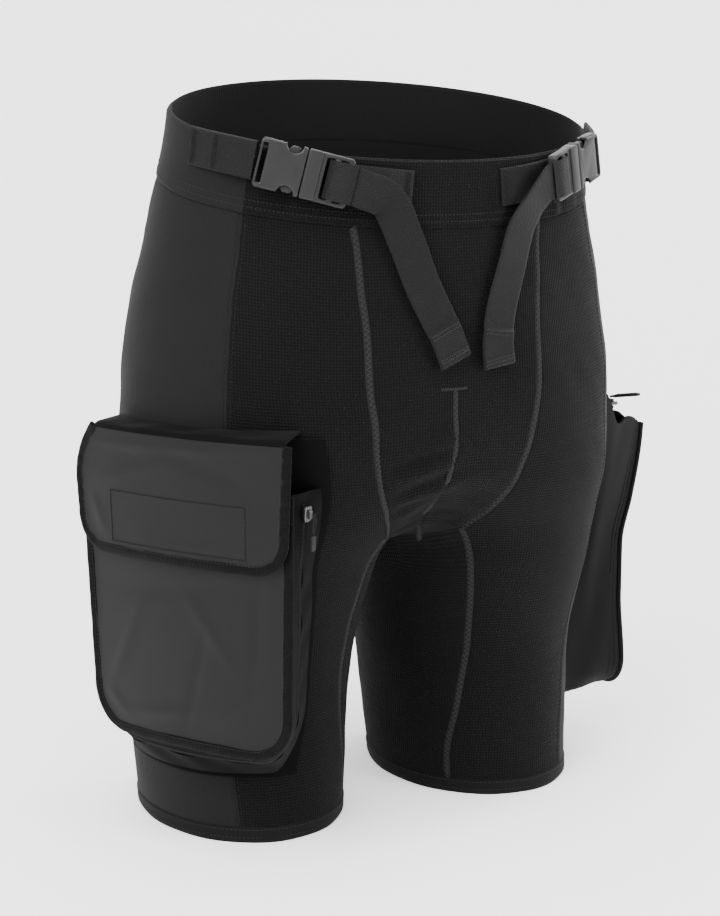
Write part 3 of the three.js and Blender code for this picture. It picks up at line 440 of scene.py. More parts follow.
def volume_of(points, faces):
    p = np.asarray(points)
    f = np.array([(a, b, c) for a, b, c, *_ in faces] + [(q[0], q[2], q[3]) for q in faces if len(q) == 4])
    return np.einsum("ij,ij->i", p[f[:, 0]], np.cross(p[f[:, 1]], p[f[:, 2]])).sum() / 6


OUTER_FACES = {}


def sheet(name, inner, outer, material, ring=False, sharp=50):
    """inner and outer are grids of points in mm, across by along."""
    OUTER_FACES[name] = np.concatenate([outer, outer[:1]]) if ring else outer
    across, along = inner.shape[:2]
    points = np.concatenate([inner.reshape(-1, 3), outer.reshape(-1, 3)])
    top = across * along
    index = np.arange(top).reshape(across, along)
    nxt = np.roll(index, -1, axis=0) if ring else index[1:]
    this = index if ring else index[:-1]
    quads = np.stack([this[:, :-1], nxt[:, :-1], nxt[:, 1:], this[:, 1:]], axis=-1).reshape(-1, 4)
    faces = [quads + top, quads[:, ::-1]]
    for line, flip in ((0, False), (-1, True)):
        a, b = this[:, line], nxt[:, line]
        wall = np.stack([a, b, b + top, a + top], axis=-1)
        faces.append(wall[:, ::-1] if flip else wall)
    if not ring:
        for line, flip in ((0, True), (-1, False)):
            a, b = index[line, :-1], index[line, 1:]
            wall = np.stack([a, b, b + top, a + top], axis=-1)
            faces.append(wall[:, ::-1] if flip else wall)
    faces = np.concatenate(faces)
    if volume_of(points, faces.tolist()) < 0:
        faces = faces[:, ::-1]
    middle = outer[across // 2]
    u = np.concatenate([np.zeros((1, along)), np.linalg.norm(np.diff(outer, axis=0), axis=-1).cumsum(0)])
    u -= u[across // 2]
    v = np.concatenate([[0], np.linalg.norm(np.diff(middle, axis=0), axis=-1).cumsum()])
    uv = np.stack([u, np.broadcast_to(v, u.shape)], axis=-1).reshape(-1, 2)
    return to_object(name, points, faces.tolist(), material, np.concatenate([uv, uv]), sharp)


def keep(obj, body, slot, *nodes):
    """The piece rides on a body and stands for these CAD nodes, which are hidden; slot is not used."""
    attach(obj, body)
    if nodes:
        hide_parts(*nodes)
    return obj


def grid(across, along):
    return np.meshgrid(np.linspace(0, 1, across), np.linspace(0, 1, along), indexing="ij")


def soft_waves(points, size=1.0):
    """Slow swells that cloth on a body has, from a few crossed sine waves."""
    x, y, z = points[..., 0], points[..., 1], points[..., 2]
    swell = (0.55 * np.sin(x / 17 + z / 31) * np.sin(y / 23 - z / 43 + 1.3)
             + 0.35 * np.sin(z / 12 + x / 29 + 0.7) * np.sin(x / 37 - y / 19)
             + 0.18 * np.sin(x / 7 + y / 9 + z / 6.5) * np.sin(z / 21 + 2.1))
    return size * swell


def seam_dip(distance, depth=1.0, reach=2.6):
    return depth * np.exp(-(distance / reach) ** 2)


# %% [markdown]
# ## The leg and hip panels
# Each panel lies between two seams. Near a seam the cloth dips, because the stitches pull
# it down, and that dip is what makes the seams read. The rows are dense enough for creases.

# %% Panels
def panel(name, side, first, last, across, rows_from, rows_to, along, material, slot, edges=(True, True)):
    u, v = grid(across, along)
    row = rows_from + v * (rows_to - rows_from)
    a, b = seam_at(first, row[0]), seam_at(last, row[0])
    gap = degrees_for(SEAM_GAP / 2, row_height(row[0], a))
    angle = (a + gap) + (b - a - 2 * gap) * u
    z = row_height(row, angle)
    base = skin(side, angle, z)
    wave = soft_waves(base)
    width = np.linalg.norm(np.diff(base, axis=0), axis=-1).sum(0)
    dip = seam_dip(u * width) * edges[0] + seam_dip((1 - u) * width) * edges[1]
    dip += seam_dip((z.max(axis=1, keepdims=True) - z), 0.8)
    out = out_of(side, angle, z)
    fade = np.clip((z - HEM_HEIGHT) / 25, 0, 1) * np.clip((waist_seam(angle) - z) / 25, 0, 1)
    wave = wave * fade
    hand = "left" if side > 0 else "right"
    obj = sheet(f"{name}_{hand}_cloth", base + out * (wave * 0.5)[..., None],
                base + out * (FABRIC + wave - dip)[..., None], material)
    return keep(obj, BODY, slot, f"{name}_{hand}")


def inner_leg(side, across=46, along=90):
    u, v = grid(across, along)
    row = v * CROTCH_ROW
    top_angle = BACK_INNER_SEAM + (-34 - BACK_INNER_SEAM) * u
    low_z = row_height(np.minimum(row, LEG_ROWS), 0 * row)
    part = np.clip((row - LEG_ROWS) / (CROTCH_ROW - LEG_ROWS), 0, 1)
    z = low_z + (inner_top(top_angle) - 0.01 - low_z) * part
    gap = degrees_for(SEAM_GAP / 2, z)
    seam = inner_seam(row_height(row, inner_seam(z)))
    angle = BACK_INNER_SEAM + gap + (seam - BACK_INNER_SEAM - 2 * gap) * u
    base = skin(side, angle, z)
    out = out_of(side, angle, z)
    room = np.clip((np.abs(base[..., 0]) - 6) / 20, 0, 1) * np.clip((z - HEM_HEIGHT) / 25, 0, 1)
    wave = soft_waves(base) * room
    width = np.linalg.norm(np.diff(base, axis=0), axis=-1).sum(0)
    dip = (seam_dip(u * width) + seam_dip((1 - u) * width)) * np.clip(room * 3, 0, 1)
    hand = "left" if side > 0 else "right"
    obj = sheet(f"inner_leg_panel_{hand}_cloth", base + out * (wave * 0.5)[..., None],
                base + out * (FABRIC + wave - dip)[..., None], WAFFLE)
    return keep(obj, BODY, "waffle_stretch_fabric", f"inner_leg_panel_{hand}")


for side in (-1, 1):
    panel("front_thigh_panel", side, thigh_front, side_seam, 64, 0, TOP_ROW, 190, WAFFLE,
          "waffle_stretch_fabric")
    panel("side_panel", side, side_seam, back_seam, 60, 0, TOP_ROW, 170, RIBBED, "smooth_neoprene")
    panel("seat_panel", side, back_seam, seat_end, 64, 0, TOP_ROW, 170, RIBBED, "smooth_neoprene")
    inner_leg(side)
print("panels made")

# %% [markdown]
# ## The front panel
# The front panel is one piece from the waist down over the pouch and under it to the
# crotch. Its middle line bulges forward of its seams. A sewn dart shapes the pouch, and the
# cloth creases where the dart pulls on it, so creases are added that fade into the seams.

# %% Front panel
HIP_HALF_DEPTH = 118
UNDER_ROWS = 3
FRONT_ROWS = TOP_ROW - CROTCH_ROW
middle_height = smooth([(211, 223), (230, 242), (250, 258), (285, 287), (330, 330), (440, 440)])
middle_back = smooth([(211, 44), (230, 18), (250, 5), (285, 0), (330, 0), (440, 0)])


def front_row(row):
    """Edge on the left seam, the way out there, and the middle line, for rows 0 to 10."""
    level = np.maximum(row, UNDER_ROWS) - UNDER_ROWS + CROTCH_ROW
    seam = seam_at(centre_seam, level)
    z = row_height(level, seam)
    angle = seam - degrees_for(SEAM_GAP, z)
    top = z >= waist_seam(seam) - 1e-6
    z1 = np.where(top, waist_seam(0 * seam), middle_height(z))
    centre, half_width, half_depth, middle = section(z1)
    skin_y = middle - half_depth * np.sqrt(1 - (centre / half_width) ** 2)
    share = np.clip((z - 322) / 16, 0, 1)
    y1 = share * skin_y + (1 - share) * (-HIP_HALF_DEPTH - 1 + middle_back(z))
    t = np.clip(1 - row / UNDER_ROWS, 0, 1)
    low_angle = -34 + (CROTCH_END + 34) * t
    low_z = inner_top(low_angle) + SEAM_GAP
    end_y = skin(1, CROTCH_END, inner_top(np.array(CROTCH_END)))[..., 1]
    start_y = -HIP_HALF_DEPTH - 1 + middle_back(211)
    end_z = inner_top(np.array(CROTCH_END)) + 6
    under = row < UNDER_ROWS
    angle, z = np.where(under, low_angle, angle), np.where(under, low_z, z)
    y1 = np.where(under, start_y + (end_y - start_y) * t, y1)
    z1 = np.where(under, middle_height(211) + (end_z - middle_height(211)) * np.sqrt(t), z1)
    return skin(1, angle, z), out_of(1, angle, z), y1, z1


def front_surface(x, row):
    """Points of the front panel: x from -1 on the right seam to 1 on the left one."""
    edge, out, y1, z1 = front_row(row)
    arch = 1 - x * x
    point = np.stack([x * edge[..., 0], edge[..., 1] + (y1 - edge[..., 1]) * arch,
                      edge[..., 2] + (z1 - edge[..., 2]) * arch], axis=-1)
    return point, out * np.stack([np.sign(x), 0 * x + 1, 0 * x + 1], axis=-1)


def crease(p, centre, direction, length, width, depth):
    """A soft fold in the x z plane: a ridge beside a groove along one direction."""
    dx, dz = p[..., 0] - centre[0], p[..., 2] - centre[1]
    c, s = np.cos(np.radians(direction)), np.sin(np.radians(direction))
    along, across = dx * c + dz * s, -dx * s + dz * c
    return depth * np.exp(-(along / length) ** 2) * np.exp(-(across / width) ** 2) * (-across / width) * 2.3


def front_creases(p):
    folds = [((-26, 268), 12, 20, 6.5, 2.0), ((-22, 250), 16, 22, 6.0, 2.4), ((-30, 236), 24, 18, 5.0, 1.8),
             ((-14, 287), 6, 14, 6.5, 1.2), ((14, 240), -28, 18, 5.5, 1.2), ((26, 262), -14, 18, 7, 0.8),
             ((0, 226), 0, 16, 5, 1.2)]
    return sum(crease(p, *fold) for fold in folds)


def dart_line(z):
    """x of the sewn dart that runs down the pouch."""
    return -3 + 2.2 * np.sin((318 - z) / 15) * np.clip((300 - z) / 30, 0, 1)


def front_panel(across=110, along=200):
    u, v = grid(across, along)
    x, row = 2 * u - 1, v * (UNDER_ROWS + FRONT_ROWS)
    point, edge_out = front_surface(x, row)
    du = np.gradient(point, axis=0)
    dv = np.gradient(point, axis=1)
    normal = np.cross(du, dv)
    normal /= np.linalg.norm(normal, axis=-1, keepdims=True)
    share = (1 - (1 - x * x))[..., None] ** 2
    out = normal * (1 - share) + edge_out * share
    out /= np.linalg.norm(out, axis=-1, keepdims=True)
    width = np.linalg.norm(du, axis=-1).sum(0)
    inset = np.minimum(u, 1 - u) * width
    fade = np.clip(inset / 12, 0, 1) * np.clip((point[..., 2] - 206) / 14, 0, 1)
    wave = (soft_waves(point, 0.8) + front_creases(point)) * fade
    on_dart = np.exp(-((point[..., 0] - dart_line(point[..., 2])) / 2.4) ** 2)
    on_dart = on_dart * np.clip((320 - point[..., 2]) / 6, 0, 1)
    lift = FABRIC + wave - seam_dip(inset) - 0.7 * on_dart - seam_dip((1 - v) * 200, 0.8)
    inner = point + out * (np.minimum(wave, 0) * 0.6)[..., None]
    obj = sheet("front_centre_cloth", inner, point + out * lift[..., None], WAFFLE)
    return keep(obj, BODY, "waffle_stretch_fabric", "front_centre_panel")


front_panel()
print("front panel made")

# %% [markdown]
# ## Waistband and hems
# The waistband is folded cloth, so its upper edge is round. Its front piece is gathered
# toward the wearer's left, where upright pleats show. The hems are turned up and covered
# with two rows of stitches.

# %% Waistband and hems
def round_edge(v, height, radius):
    """How far the outer face drops near the two ends of a folded edge."""
    distance = np.minimum(v, 1 - v) * height
    t = np.clip(1 - distance / radius, 0, 1)
    return radius * 0.5 * (1 - np.sqrt(1 - t * t))


def waist_piece(name, start, end, across, material, slot, pleats=0.0):
    u, v = grid(across, 36)
    gap = degrees_for(SEAM_GAP / 2, 460)
    around = start + gap + (end - start - 2 * gap) * u
    turned = np.mod(around, 360)
    side = np.where(turned > 180, -1, 1)
    angle = np.where(turned > 180, 360 - turned, turned)
    z = waist_seam(angle) - 0.4 + v * (WAISTBAND_HEIGHT + 0.4)
    base = skin(side, angle, z)
    signed = angle * side
    gather = pleats * (0.35 + 0.65 * (1 - v)) * np.exp(-((signed - 24) / 20) ** 2) * (
        np.sin(signed * 0.62) + 0.5 * np.sin(signed * 1.13 + 1.1))
    wave = soft_waves(base, 0.5) + gather * np.sin(np.pi * np.clip(v * 0.8 + 0.15, 0, 1))
    out = out_of(side, angle, z)
    lift = 3.6 + wave - round_edge(v, WAISTBAND_HEIGHT, 3.4) * 1.6
    inner = base + out * (wave * 0.4 + round_edge(v, WAISTBAND_HEIGHT, 2.0) * 0.6)[..., None]
    return keep(sheet(f"{name}_cloth", inner, base + out * lift[..., None], material), BODY, slot, name)


FRONT_CUT, BACK_CUT = 54.6, 122
waist_piece("waistband_front", -FRONT_CUT, FRONT_CUT, 200, WAFFLE, "waffle_stretch_fabric", 1.3)
waist_piece("waistband_side_left", FRONT_CUT, BACK_CUT, 80, RIBBED, "smooth_neoprene")
waist_piece("waistband_back", BACK_CUT, 360 - BACK_CUT, 150, RIBBED, "smooth_neoprene")
waist_piece("waistband_side_right", 360 - BACK_CUT, 360 - FRONT_CUT, 80, RIBBED, "smooth_neoprene")

for side, hand in ((-1, "right"), (1, "left")):
    u, v = np.meshgrid(np.arange(180) / 180, np.linspace(0, 1, 10), indexing="ij")
    z = v * HEM_HEIGHT
    base, out = skin(side, 360 * u, z), out_of(side, 360 * u, z)
    ripple = 0.5 * np.sin(u * 40) * np.sin(u * 23 + 1) * (1 - v)
    lift = 3.5 + ripple - round_edge(v, HEM_HEIGHT, 2.2)
    ring = sheet(f"hem_band_{hand}_cloth", base + out * (ripple * 0.5)[..., None],
                 base + out * lift[..., None], HEM, ring=True)
    keep(ring, BODY, "binding_and_trim", f"hem_band_{hand}")
print("waistband and hems made")

# %% [markdown]
# ## Stitches
# A seam is a row of short threads, so Geometry Nodes lay one small thread after another
# along a guide line. The guide is a chain of edges that carries the direction away from the
# body. A zigzag turns every second thread the other way. One tree serves every seam.

# %% Stitch tree
def stitch_tree():
    tree = bpy.data.node_groups.new("stitches_along_a_seam", "GeometryNodeTree")
    face = tree.interface
    face.new_socket("Seam", in_out="INPUT", socket_type="NodeSocketGeometry")
    for name, default in (("Pitch", 0.003), ("Thread length", 0.0024), ("Thread radius", 0.0004),
                          ("Zigzag angle", 0.0)):
        face.new_socket(name, in_out="INPUT", socket_type="NodeSocketFloat").default_value = default
    face.new_socket("Thread", in_out="INPUT", socket_type="NodeSocketMaterial")
    face.new_socket("Stitches", in_out="OUTPUT", socket_type="NodeSocketGeometry")
    nodes, links = tree.nodes, tree.links

    def add(kind, **settings):
        node = nodes.new(kind)
        for key, value in settings.items():
            setattr(node, key, value)
        return node
    enter, leave = add("NodeGroupInput"), add("NodeGroupOutput")
    curve = add("GeometryNodeMeshToCurve")
    resample = add("GeometryNodeResampleCurve", mode="LENGTH")
    tangent = add("GeometryNodeInputTangent")
    away = add("GeometryNodeInputNamedAttribute", data_type="FLOAT_VECTOR")
    away.inputs["Name"].default_value = "away"
    along = add("FunctionNodeAlignRotationToVector", axis="X")
    upright = add("FunctionNodeAlignRotationToVector", axis="Z", pivot_axis="X")
    index = add("GeometryNodeInputIndex")
    odd = add("ShaderNodeMath", operation="MODULO")
    odd.inputs[1].default_value = 2
    swing = add("ShaderNodeMath", operation="MULTIPLY_ADD")
    swing.inputs[1].default_value = 2
    swing.inputs[2].default_value = -1
    angle = add("ShaderNodeMath", operation="MULTIPLY")
    turn = add("ShaderNodeCombineXYZ")
    to_rotation = add("FunctionNodeEulerToRotation")
    rotate = add("FunctionNodeRotateRotation", rotation_space="LOCAL")
    thread = add("GeometryNodeMeshUVSphere")
    thread.inputs["Segments"].default_value = 6
    thread.inputs["Rings"].default_value = 4
    thread.inputs["Radius"].default_value = 1
    lie = add("GeometryNodeTransform")
    lie.inputs["Rotation"].default_value = (0, np.pi / 2, 0)
    size = add("ShaderNodeCombineXYZ")
    half = add("ShaderNodeMath", operation="MULTIPLY")
    half.inputs[1].default_value = 0.5
    scale = add("GeometryNodeTransform")
    instance = add("GeometryNodeInstanceOnPoints")
    realize = add("GeometryNodeRealizeInstances")
    smooth_shade = add("GeometryNodeSetShadeSmooth")
    finish = add("GeometryNodeSetMaterial")
    wires = [(enter, "Seam", curve, "Mesh"), (curve, "Curve", resample, "Curve"),
             (enter, "Pitch", resample, "Length"), (resample, "Curve", instance, "Points"),
             (tangent, "Tangent", along, "Vector"), (along, "Rotation", upright, "Rotation"),
             (away, "Attribute", upright, "Vector"), (index, "Index", odd, 0),
             (odd, 0, swing, 0), (swing, 0, angle, 0), (enter, "Zigzag angle", angle, 1),
             (angle, 0, turn, "Z"), (turn, 0, to_rotation, "Euler"),
             (upright, "Rotation", rotate, "Rotation"), (to_rotation, "Rotation", rotate, "Rotate By"),
             (rotate, "Rotation", instance, "Rotation"), (thread, "Mesh", lie, "Geometry"),
             (lie, "Geometry", scale, "Geometry"), (enter, "Thread length", half, 0),
             (half, 0, size, "X"), (enter, "Thread radius", size, "Y"),
             (enter, "Thread radius", size, "Z"), (size, 0, scale, "Scale"),
             (scale, "Geometry", instance, "Instance"), (instance, "Instances", realize, "Geometry"),
             (realize, "Geometry", smooth_shade, "Geometry"), (smooth_shade, "Geometry", finish, "Geometry"),
             (enter, "Thread", finish, "Material"), (finish, "Geometry", leave, "Stitches")]
    for source, out_name, sink, in_name in wires:
        links.new(source.outputs[out_name], sink.inputs[in_name])
    return tree


STITCHES = stitch_tree()


def stitches(name, lines, thread, pitch=3.0, length=2.4, radius=0.32, zigzag=0.0, body=BODY):
    """lines is a list of (points, away) arrays in mm. All become one piece."""
    points, away, edges = [], [], []
    for line, outward in lines:
        first = len(points)
        points += (np.asarray(line) * MM + MIDDLE).tolist()
        away += np.asarray(outward).tolist()
        edges += [(i, i + 1) for i in range(first, len(points) - 1)]
    mesh = bpy.data.meshes.new(name + "_guide")
    mesh.from_pydata(points, edges, [])
    layer = mesh.attributes.new("away", "FLOAT_VECTOR", "POINT")
    layer.data.foreach_set("vector", np.asarray(away, np.float32).ravel())
    guide = bpy.data.objects.new(name, mesh)
    bpy.context.scene.collection.objects.link(guide)
    modifier = guide.modifiers.new("stitches", "NODES")
    modifier.node_group = STITCHES
    socket = {item.name: item.identifier for item in STITCHES.interface.items_tree
              if getattr(item, "in_out", "") == "INPUT"}
    for key, value in (("Pitch", pitch * MM), ("Thread length", length * MM),
                       ("Thread radius", radius * MM), ("Zigzag angle", np.radians(zigzag)),
                       ("Thread", thread)):
        modifier[socket[key]] = value
    evaluated = guide.evaluated_get(bpy.context.evaluated_depsgraph_get())
    made = bpy.data.meshes.new_from_object(evaluated)
    guide.modifiers.clear()
    guide.data = made
    keep(guide, body, "binding_and_trim")
    return guide


def on_cloth(side, angle, z, lift):
    """A place on the outside of the leg cloth, which follows its slow swells."""
    base = skin(side, angle, z)
    fade = np.clip((z - HEM_HEIGHT) / 25, 0, 1) * np.clip((waist_seam(angle) - z) / 25, 0, 1)
    return base + out_of(side, angle, z) * (lift + soft_waves(base) * fade)[..., None]


print("stitch tree nodes:", len(STITCHES.nodes))

# %% [markdown]
# ## Sewn seams
# A flatlock seam joins two edges side by side under a light grey zigzag. Such seams run
# down the front from the waist and along the inner leg. The side panels are sewn with dark
# thread on both sides of the join. Covered hems have two rows of plain stitches.

# %% Flatlock and topstitched seams
def ribbon(name, line, away, width, thick, material, slot, body=BODY):
    """A narrow flat band along points, with its middle a little proud of its edges."""
    tangent = np.gradient(line, axis=0)
    side = np.cross(tangent, away)
    side /= np.linalg.norm(side, axis=-1, keepdims=True)
    across = np.linspace(-0.5, 0.5, 7)
    proud = thick * np.sqrt(np.clip(1 - (2 * across) ** 2, 0, 1)) * 0.7 + thick * 0.3
    low = line[None] + across[:, None, None] * width * side[None] - 0.6 * away[None]
    top = line[None] + across[:, None, None] * width * side[None] + proud[:, None, None] * away[None]
    return keep(sheet(name, low, top, material), body, slot)


def seam_line(side, angle_of, rows, lift=2.35):
    row = np.linspace(*rows, 160)
    angle = seam_at(angle_of, row)
    z = row_height(row, angle)
    return on_cloth(side, angle, z, lift + 0 * z), out_of(side, angle, z)


flatlock_lines, dark_lines, mid_lines = [], [], []
for side, hand in ((-1, "right"), (1, "left")):
    line, away = seam_line(side, centre_seam, (CROTCH_ROW + 0.02, TOP_ROW))
    ribbon(f"front_seam_{hand}", line, away, 5.2, 0.6, SEAM_TAPE, "binding_and_trim")
    flatlock_lines.append((line + away * 0.6, away))
    line, away = seam_line(side, inner_seam, (0, CROTCH_ROW - 0.05))
    ribbon(f"inner_leg_seam_{hand}", line, away, 5.2, 0.6, SEAM_TAPE, "binding_and_trim")
    flatlock_lines.append((line + away * 0.6, away))
    for offset in (-2.2, 2.2):
        for seam in (side_seam, back_seam):
            row = np.linspace(0, TOP_ROW, 240)
            angle = seam_at(seam, row)
            z = row_height(row, angle)
            angle = angle + degrees_for(offset, z)
            dark_lines.append((on_cloth(side, angle, z, FABRIC - 0.35 + 0 * z), out_of(side, angle, z)))
stitches("flatlock_zigzag", flatlock_lines, THREAD_GREY, pitch=1.9, length=4.6, radius=0.34, zigzag=58)
stitches("side_seam_topstitch", dark_lines, THREAD_DARK, pitch=3.2, length=2.5)
for side in (-1, 1):
    around = np.linspace(0, 360, 400)
    for height in (4.0, 9.6):
        ripple = 0.5 * np.sin(np.radians(around) / (2 * np.pi) * 40) * 0
        mid_lines.append((skin(side, around, height, 3.55 + ripple), out_of(side, around, height)))
for height, edge in ((5.0, 1), (9.5, 1)):
    around = np.linspace(-178, 178, 700)
    side = np.where(around < 0, -1, 1)
    angle = np.abs(around)
    z = waist_seam(angle) + height
    base = skin(side, angle, z)
    signed = angle * side
    in_front = np.abs(around) < FRONT_CUT
    wave = soft_waves(base, 0.5) + np.where(in_front, 1.3 * (0.35 + 0.65 * (1 - height / WAISTBAND_HEIGHT))
            * np.exp(-((signed - 24) / 20) ** 2) * (np.sin(signed * 0.62)
            + 0.5 * np.sin(signed * 1.13 + 1.1)) * np.sin(np.pi * (height / WAISTBAND_HEIGHT * 0.8 + 0.15)), 0)
    mid_lines.append((base + out_of(side, angle, z) * (3.6 + wave)[:, None], out_of(side, angle, z)))
stitches("coverstitch_rows", mid_lines, THREAD_MID, pitch=3.0, length=2.3, radius=0.3)

z = np.linspace(318, 205, 90)
row_of = [row for row in np.linspace(UNDER_ROWS - 0.4, UNDER_ROWS + 5, 300)]
middle = np.array([front_surface(np.array(-0.06), np.array(r))[0] for r in row_of])
order = np.argsort(middle[:, 2])
dart = np.stack([dart_line(z), np.interp(z, middle[order, 2], middle[order, 1]), z], axis=-1)
dart_away = np.broadcast_to(np.array([0.0, -1.0, -0.12]) / np.hypot(1, 0.12), dart.shape)
dart = dart + dart_away * (FABRIC - 0.5 + 0.8 * soft_waves(dart)[:, None] * 0.5)
bar_x = np.linspace(-14, 5, 24)
bar_base = np.stack([bar_x, np.interp(318 + 0 * bar_x, middle[order, 2], middle[order, 1])
                     + 0.004 * bar_x ** 2, 318 + 0 * bar_x], axis=-1)
bar_away = np.broadcast_to(np.array([0.0, -1.0, 0.0]), bar_base.shape)
ribbon("pouch_dart_seam", dart, dart_away, 4.0, 0.5, SEAM_TAPE, "binding_and_trim")
stitches("pouch_dart_stitches", [(dart + dart_away * 0.5, dart_away)], THREAD_GREY, pitch=1.9,
         length=3.6, radius=0.32, zigzag=58)
stitches("pouch_dart_bar", [(bar_base + bar_away * (FABRIC + 0.25), bar_away)], THREAD_GREY, pitch=0.9,
         length=2.6, radius=0.3, zigzag=70)
print("seams sewn")

# %% [markdown]
# ## The cargo pocket
# A flat-faced pocket stands off the wearer's right thigh. Its face is one slightly bulging
# sheet with rounded lower corners, joined to a backing on the leg by a gusset with a zip. A
# flap covers its mouth. All edges are bound with ribbed tape. The gusset cloth puckers,
# because it is cut longer than the path it takes, so it gets ripples across its width.

# %% Cargo pocket geometry
CARGO_TURN = np.radians(62)
LOOK = np.array([-np.sin(CARGO_TURN), -np.cos(CARGO_TURN), 0.0])
AHEAD = np.array([np.cos(CARGO_TURN), -np.sin(CARGO_TURN), 0.0])
CARGO_TOP, CARGO_BOTTOM, CARGO_CORNER, HALF_CARGO = 291.0, 76.0, 30.0, 89.0
MOUTH_TOP = CARGO_TOP - 33
CARGO_FABRIC, BINDING_WIDTH, FLAP_LENGTH, FLAP_DEPTH = 2.0, 5.0, 86.0, 3.4


def widest(z):
    centre, half_width, half_depth, middle = section(z)
    reach = np.array([half_width ** 2 * LOOK[0], half_depth ** 2 * LOOK[1], 0])
    size = np.hypot(half_width * LOOK[0], half_depth * LOOK[1])
    return np.array([-centre, middle, 0]) + reach / size


cargo_middle = widest(190.0) @ AHEAD + 10


def cargo_drop(z):
    return np.clip((CARGO_TOP - z) / 215, 0, 1)


cargo_reach = max(widest(z) @ LOOK for z in (190.0, 220.0, 250.0, 270.0))


def cargo_taper(z):
    return HALF_CARGO - 6 * np.clip((CARGO_TOP - z) / 190, 0, 1)


def on_face(a, z, depth=0.0):
    """A point of the pocket's face: a across it from the middle, depth out from it."""
    a, z, depth = np.broadcast_arrays(np.asarray(a, float), z, depth)
    plane = cargo_reach + FABRIC + 7 - 10 - 6 * cargo_drop(z) + 10 * (1 - (a / HALF_CARGO) ** 2) + depth
    return ((cargo_middle + a)[..., None] * AHEAD + plane[..., None] * LOOK
            + z[..., None] * np.array([0, 0, 1.0]))


def rounded_half(half, bottom, radius, z):
    rise = np.clip(bottom + radius - z, 0, radius)
    return half - radius + np.sqrt(np.maximum(0, radius ** 2 - rise ** 2))


RUN, BEND = 0.3, 0.12


def u_path(s, half_at, bottom, top, radius):
    """The U of a pocket's edge, down one side, round below and up the other."""
    s = np.asarray(s, float)
    t = np.where(s < 0.5, s, 1 - s)
    sign = np.where(s < 0.5, -1.0, 1.0)
    half = half_at(np.full(s.shape, bottom + radius))
    z_run = top + (bottom + radius - top) * np.clip(t / RUN, 0, 1)
    turn = np.radians(90 * np.clip((t - RUN) / BEND, 0, 1))
    left = np.clip((0.5 - t) / (0.5 - RUN - BEND), 0, 1)
    straight, bend = t <= RUN, (t > RUN) & (t <= RUN + BEND)
    x = np.where(straight, sign * half_at(z_run),
                 np.where(bend, sign * (half - radius + radius * np.cos(turn)),
                          sign * (half - radius) * left))
    z = np.where(straight, z_run, np.where(bend, bottom + radius - radius * np.sin(turn), bottom))
    nx = np.where(straight, sign, np.where(bend, sign * np.cos(turn), 0))
    nz = np.where(straight, 0.0, np.where(bend, -np.sin(turn), -1.0))
    return x, z, nx, nz


def face_edge(s, inset=0.0):
    return u_path(s, lambda z: cargo_taper(z) - inset, CARGO_BOTTOM + inset, MOUTH_TOP, CARGO_CORNER - inset)


CARGO_REAR, ROOT_BOTTOM, ROOT_LIFT, BACK_THICK = 99.0, 52.0, 3.7, 1.5
GUSSET_LIFT = ROOT_LIFT + BACK_THICK + 2
root_front = smooth([(52, 2), (98, -4), (160, -1), (206, 6), (256, 17), (291, 26)])


def root_point(s, lift):
    x, z = u_path(s, lambda q: np.ones(np.shape(q)), 0.0, 1.0, 0.22)[:2]
    height = ROOT_BOTTOM + (MOUTH_TOP - ROOT_BOTTOM) * z
    edge = np.where(x < 0, CARGO_REAR, root_front(height))
    return on_cloth(-1, 50 + (edge - 50) * np.abs(x), height, lift)


def normals_of(grid_points):
    normal = np.cross(np.gradient(grid_points, axis=0), np.gradient(grid_points, axis=1))
    return normal / np.maximum(np.linalg.norm(normal, axis=-1, keepdims=True), 1e-9)


SIZES = {}


def cut_size(obj, outer):
    """Width, length and area in metres of a sheet's outer face."""
    across = np.linalg.norm(np.diff(outer, axis=0), axis=-1)
    along = np.linalg.norm(np.diff(outer, axis=1), axis=-1)
    a = np.linalg.norm(np.cross(outer[1:, :-1] - outer[:-1, :-1], outer[:-1, 1:] - outer[:-1, :-1]), axis=-1)
    b = np.linalg.norm(np.cross(outer[1:, :-1] - outer[1:, 1:], outer[:-1, 1:] - outer[1:, 1:]), axis=-1)
    SIZES[obj.name] = (across.sum(0).max() * MM, along.sum(1).max() * MM, (a + b).sum() / 2 * MM * MM)


def cloth_sheet(name, middle, thick, material, slot, nodes, body=BODY, waves=0.0,
                towards=None):
    """A sheet of cloth on both sides of a grid of middle points, and its cut size, kept in SIZES."""
    normal = normals_of(middle)
    if towards is not None and (normal * towards).sum() < 0:
        normal = -normal
    if waves:
        middle = middle + normal * soft_waves(middle, waves)[..., None]
    outer = middle + normal * thick / 2
    obj = sheet(name, middle - normal * thick / 2, outer, material)
    keep(obj, body, slot, *nodes)
    cut_size(obj, outer)
    return obj


print("pocket face looks", LOOK.round(3), "at", round(cargo_reach, 1))

# %% [markdown]
# The face sags between its edges, and creases run from its corners as they do on coated
# nylon that has been folded. The flap's creases are softer, since the patch behind it is stiff.

# %% Cargo pocket cloth
def nylon_creases(a, z, lines):
    total = 0
    for a0, z0, degrees, length, width, depth in lines:
        c, s = np.cos(np.radians(degrees)), np.sin(np.radians(degrees))
        along, across = (a - a0) * c + (z - z0) * s, -(a - a0) * s + (z - z0) * c
        total = total + depth * np.exp(-(along / length) ** 2) * np.exp(-(across / width) ** 2)
    return total


def face_grid(half_of, bottom, top, radius, inset, across, along):
    u, v = grid(across, along)
    bend = bottom + radius
    curved = v < 0.45
    z = np.where(curved, bend - (radius - inset) * np.cos(np.pi / 2 * v / 0.45),
                 bend + (top - bend) * (v - 0.45) / 0.55)
    half = rounded_half(half_of(z) - inset, bottom + inset, radius - inset, z)
    return (2 * u - 1) * half, z


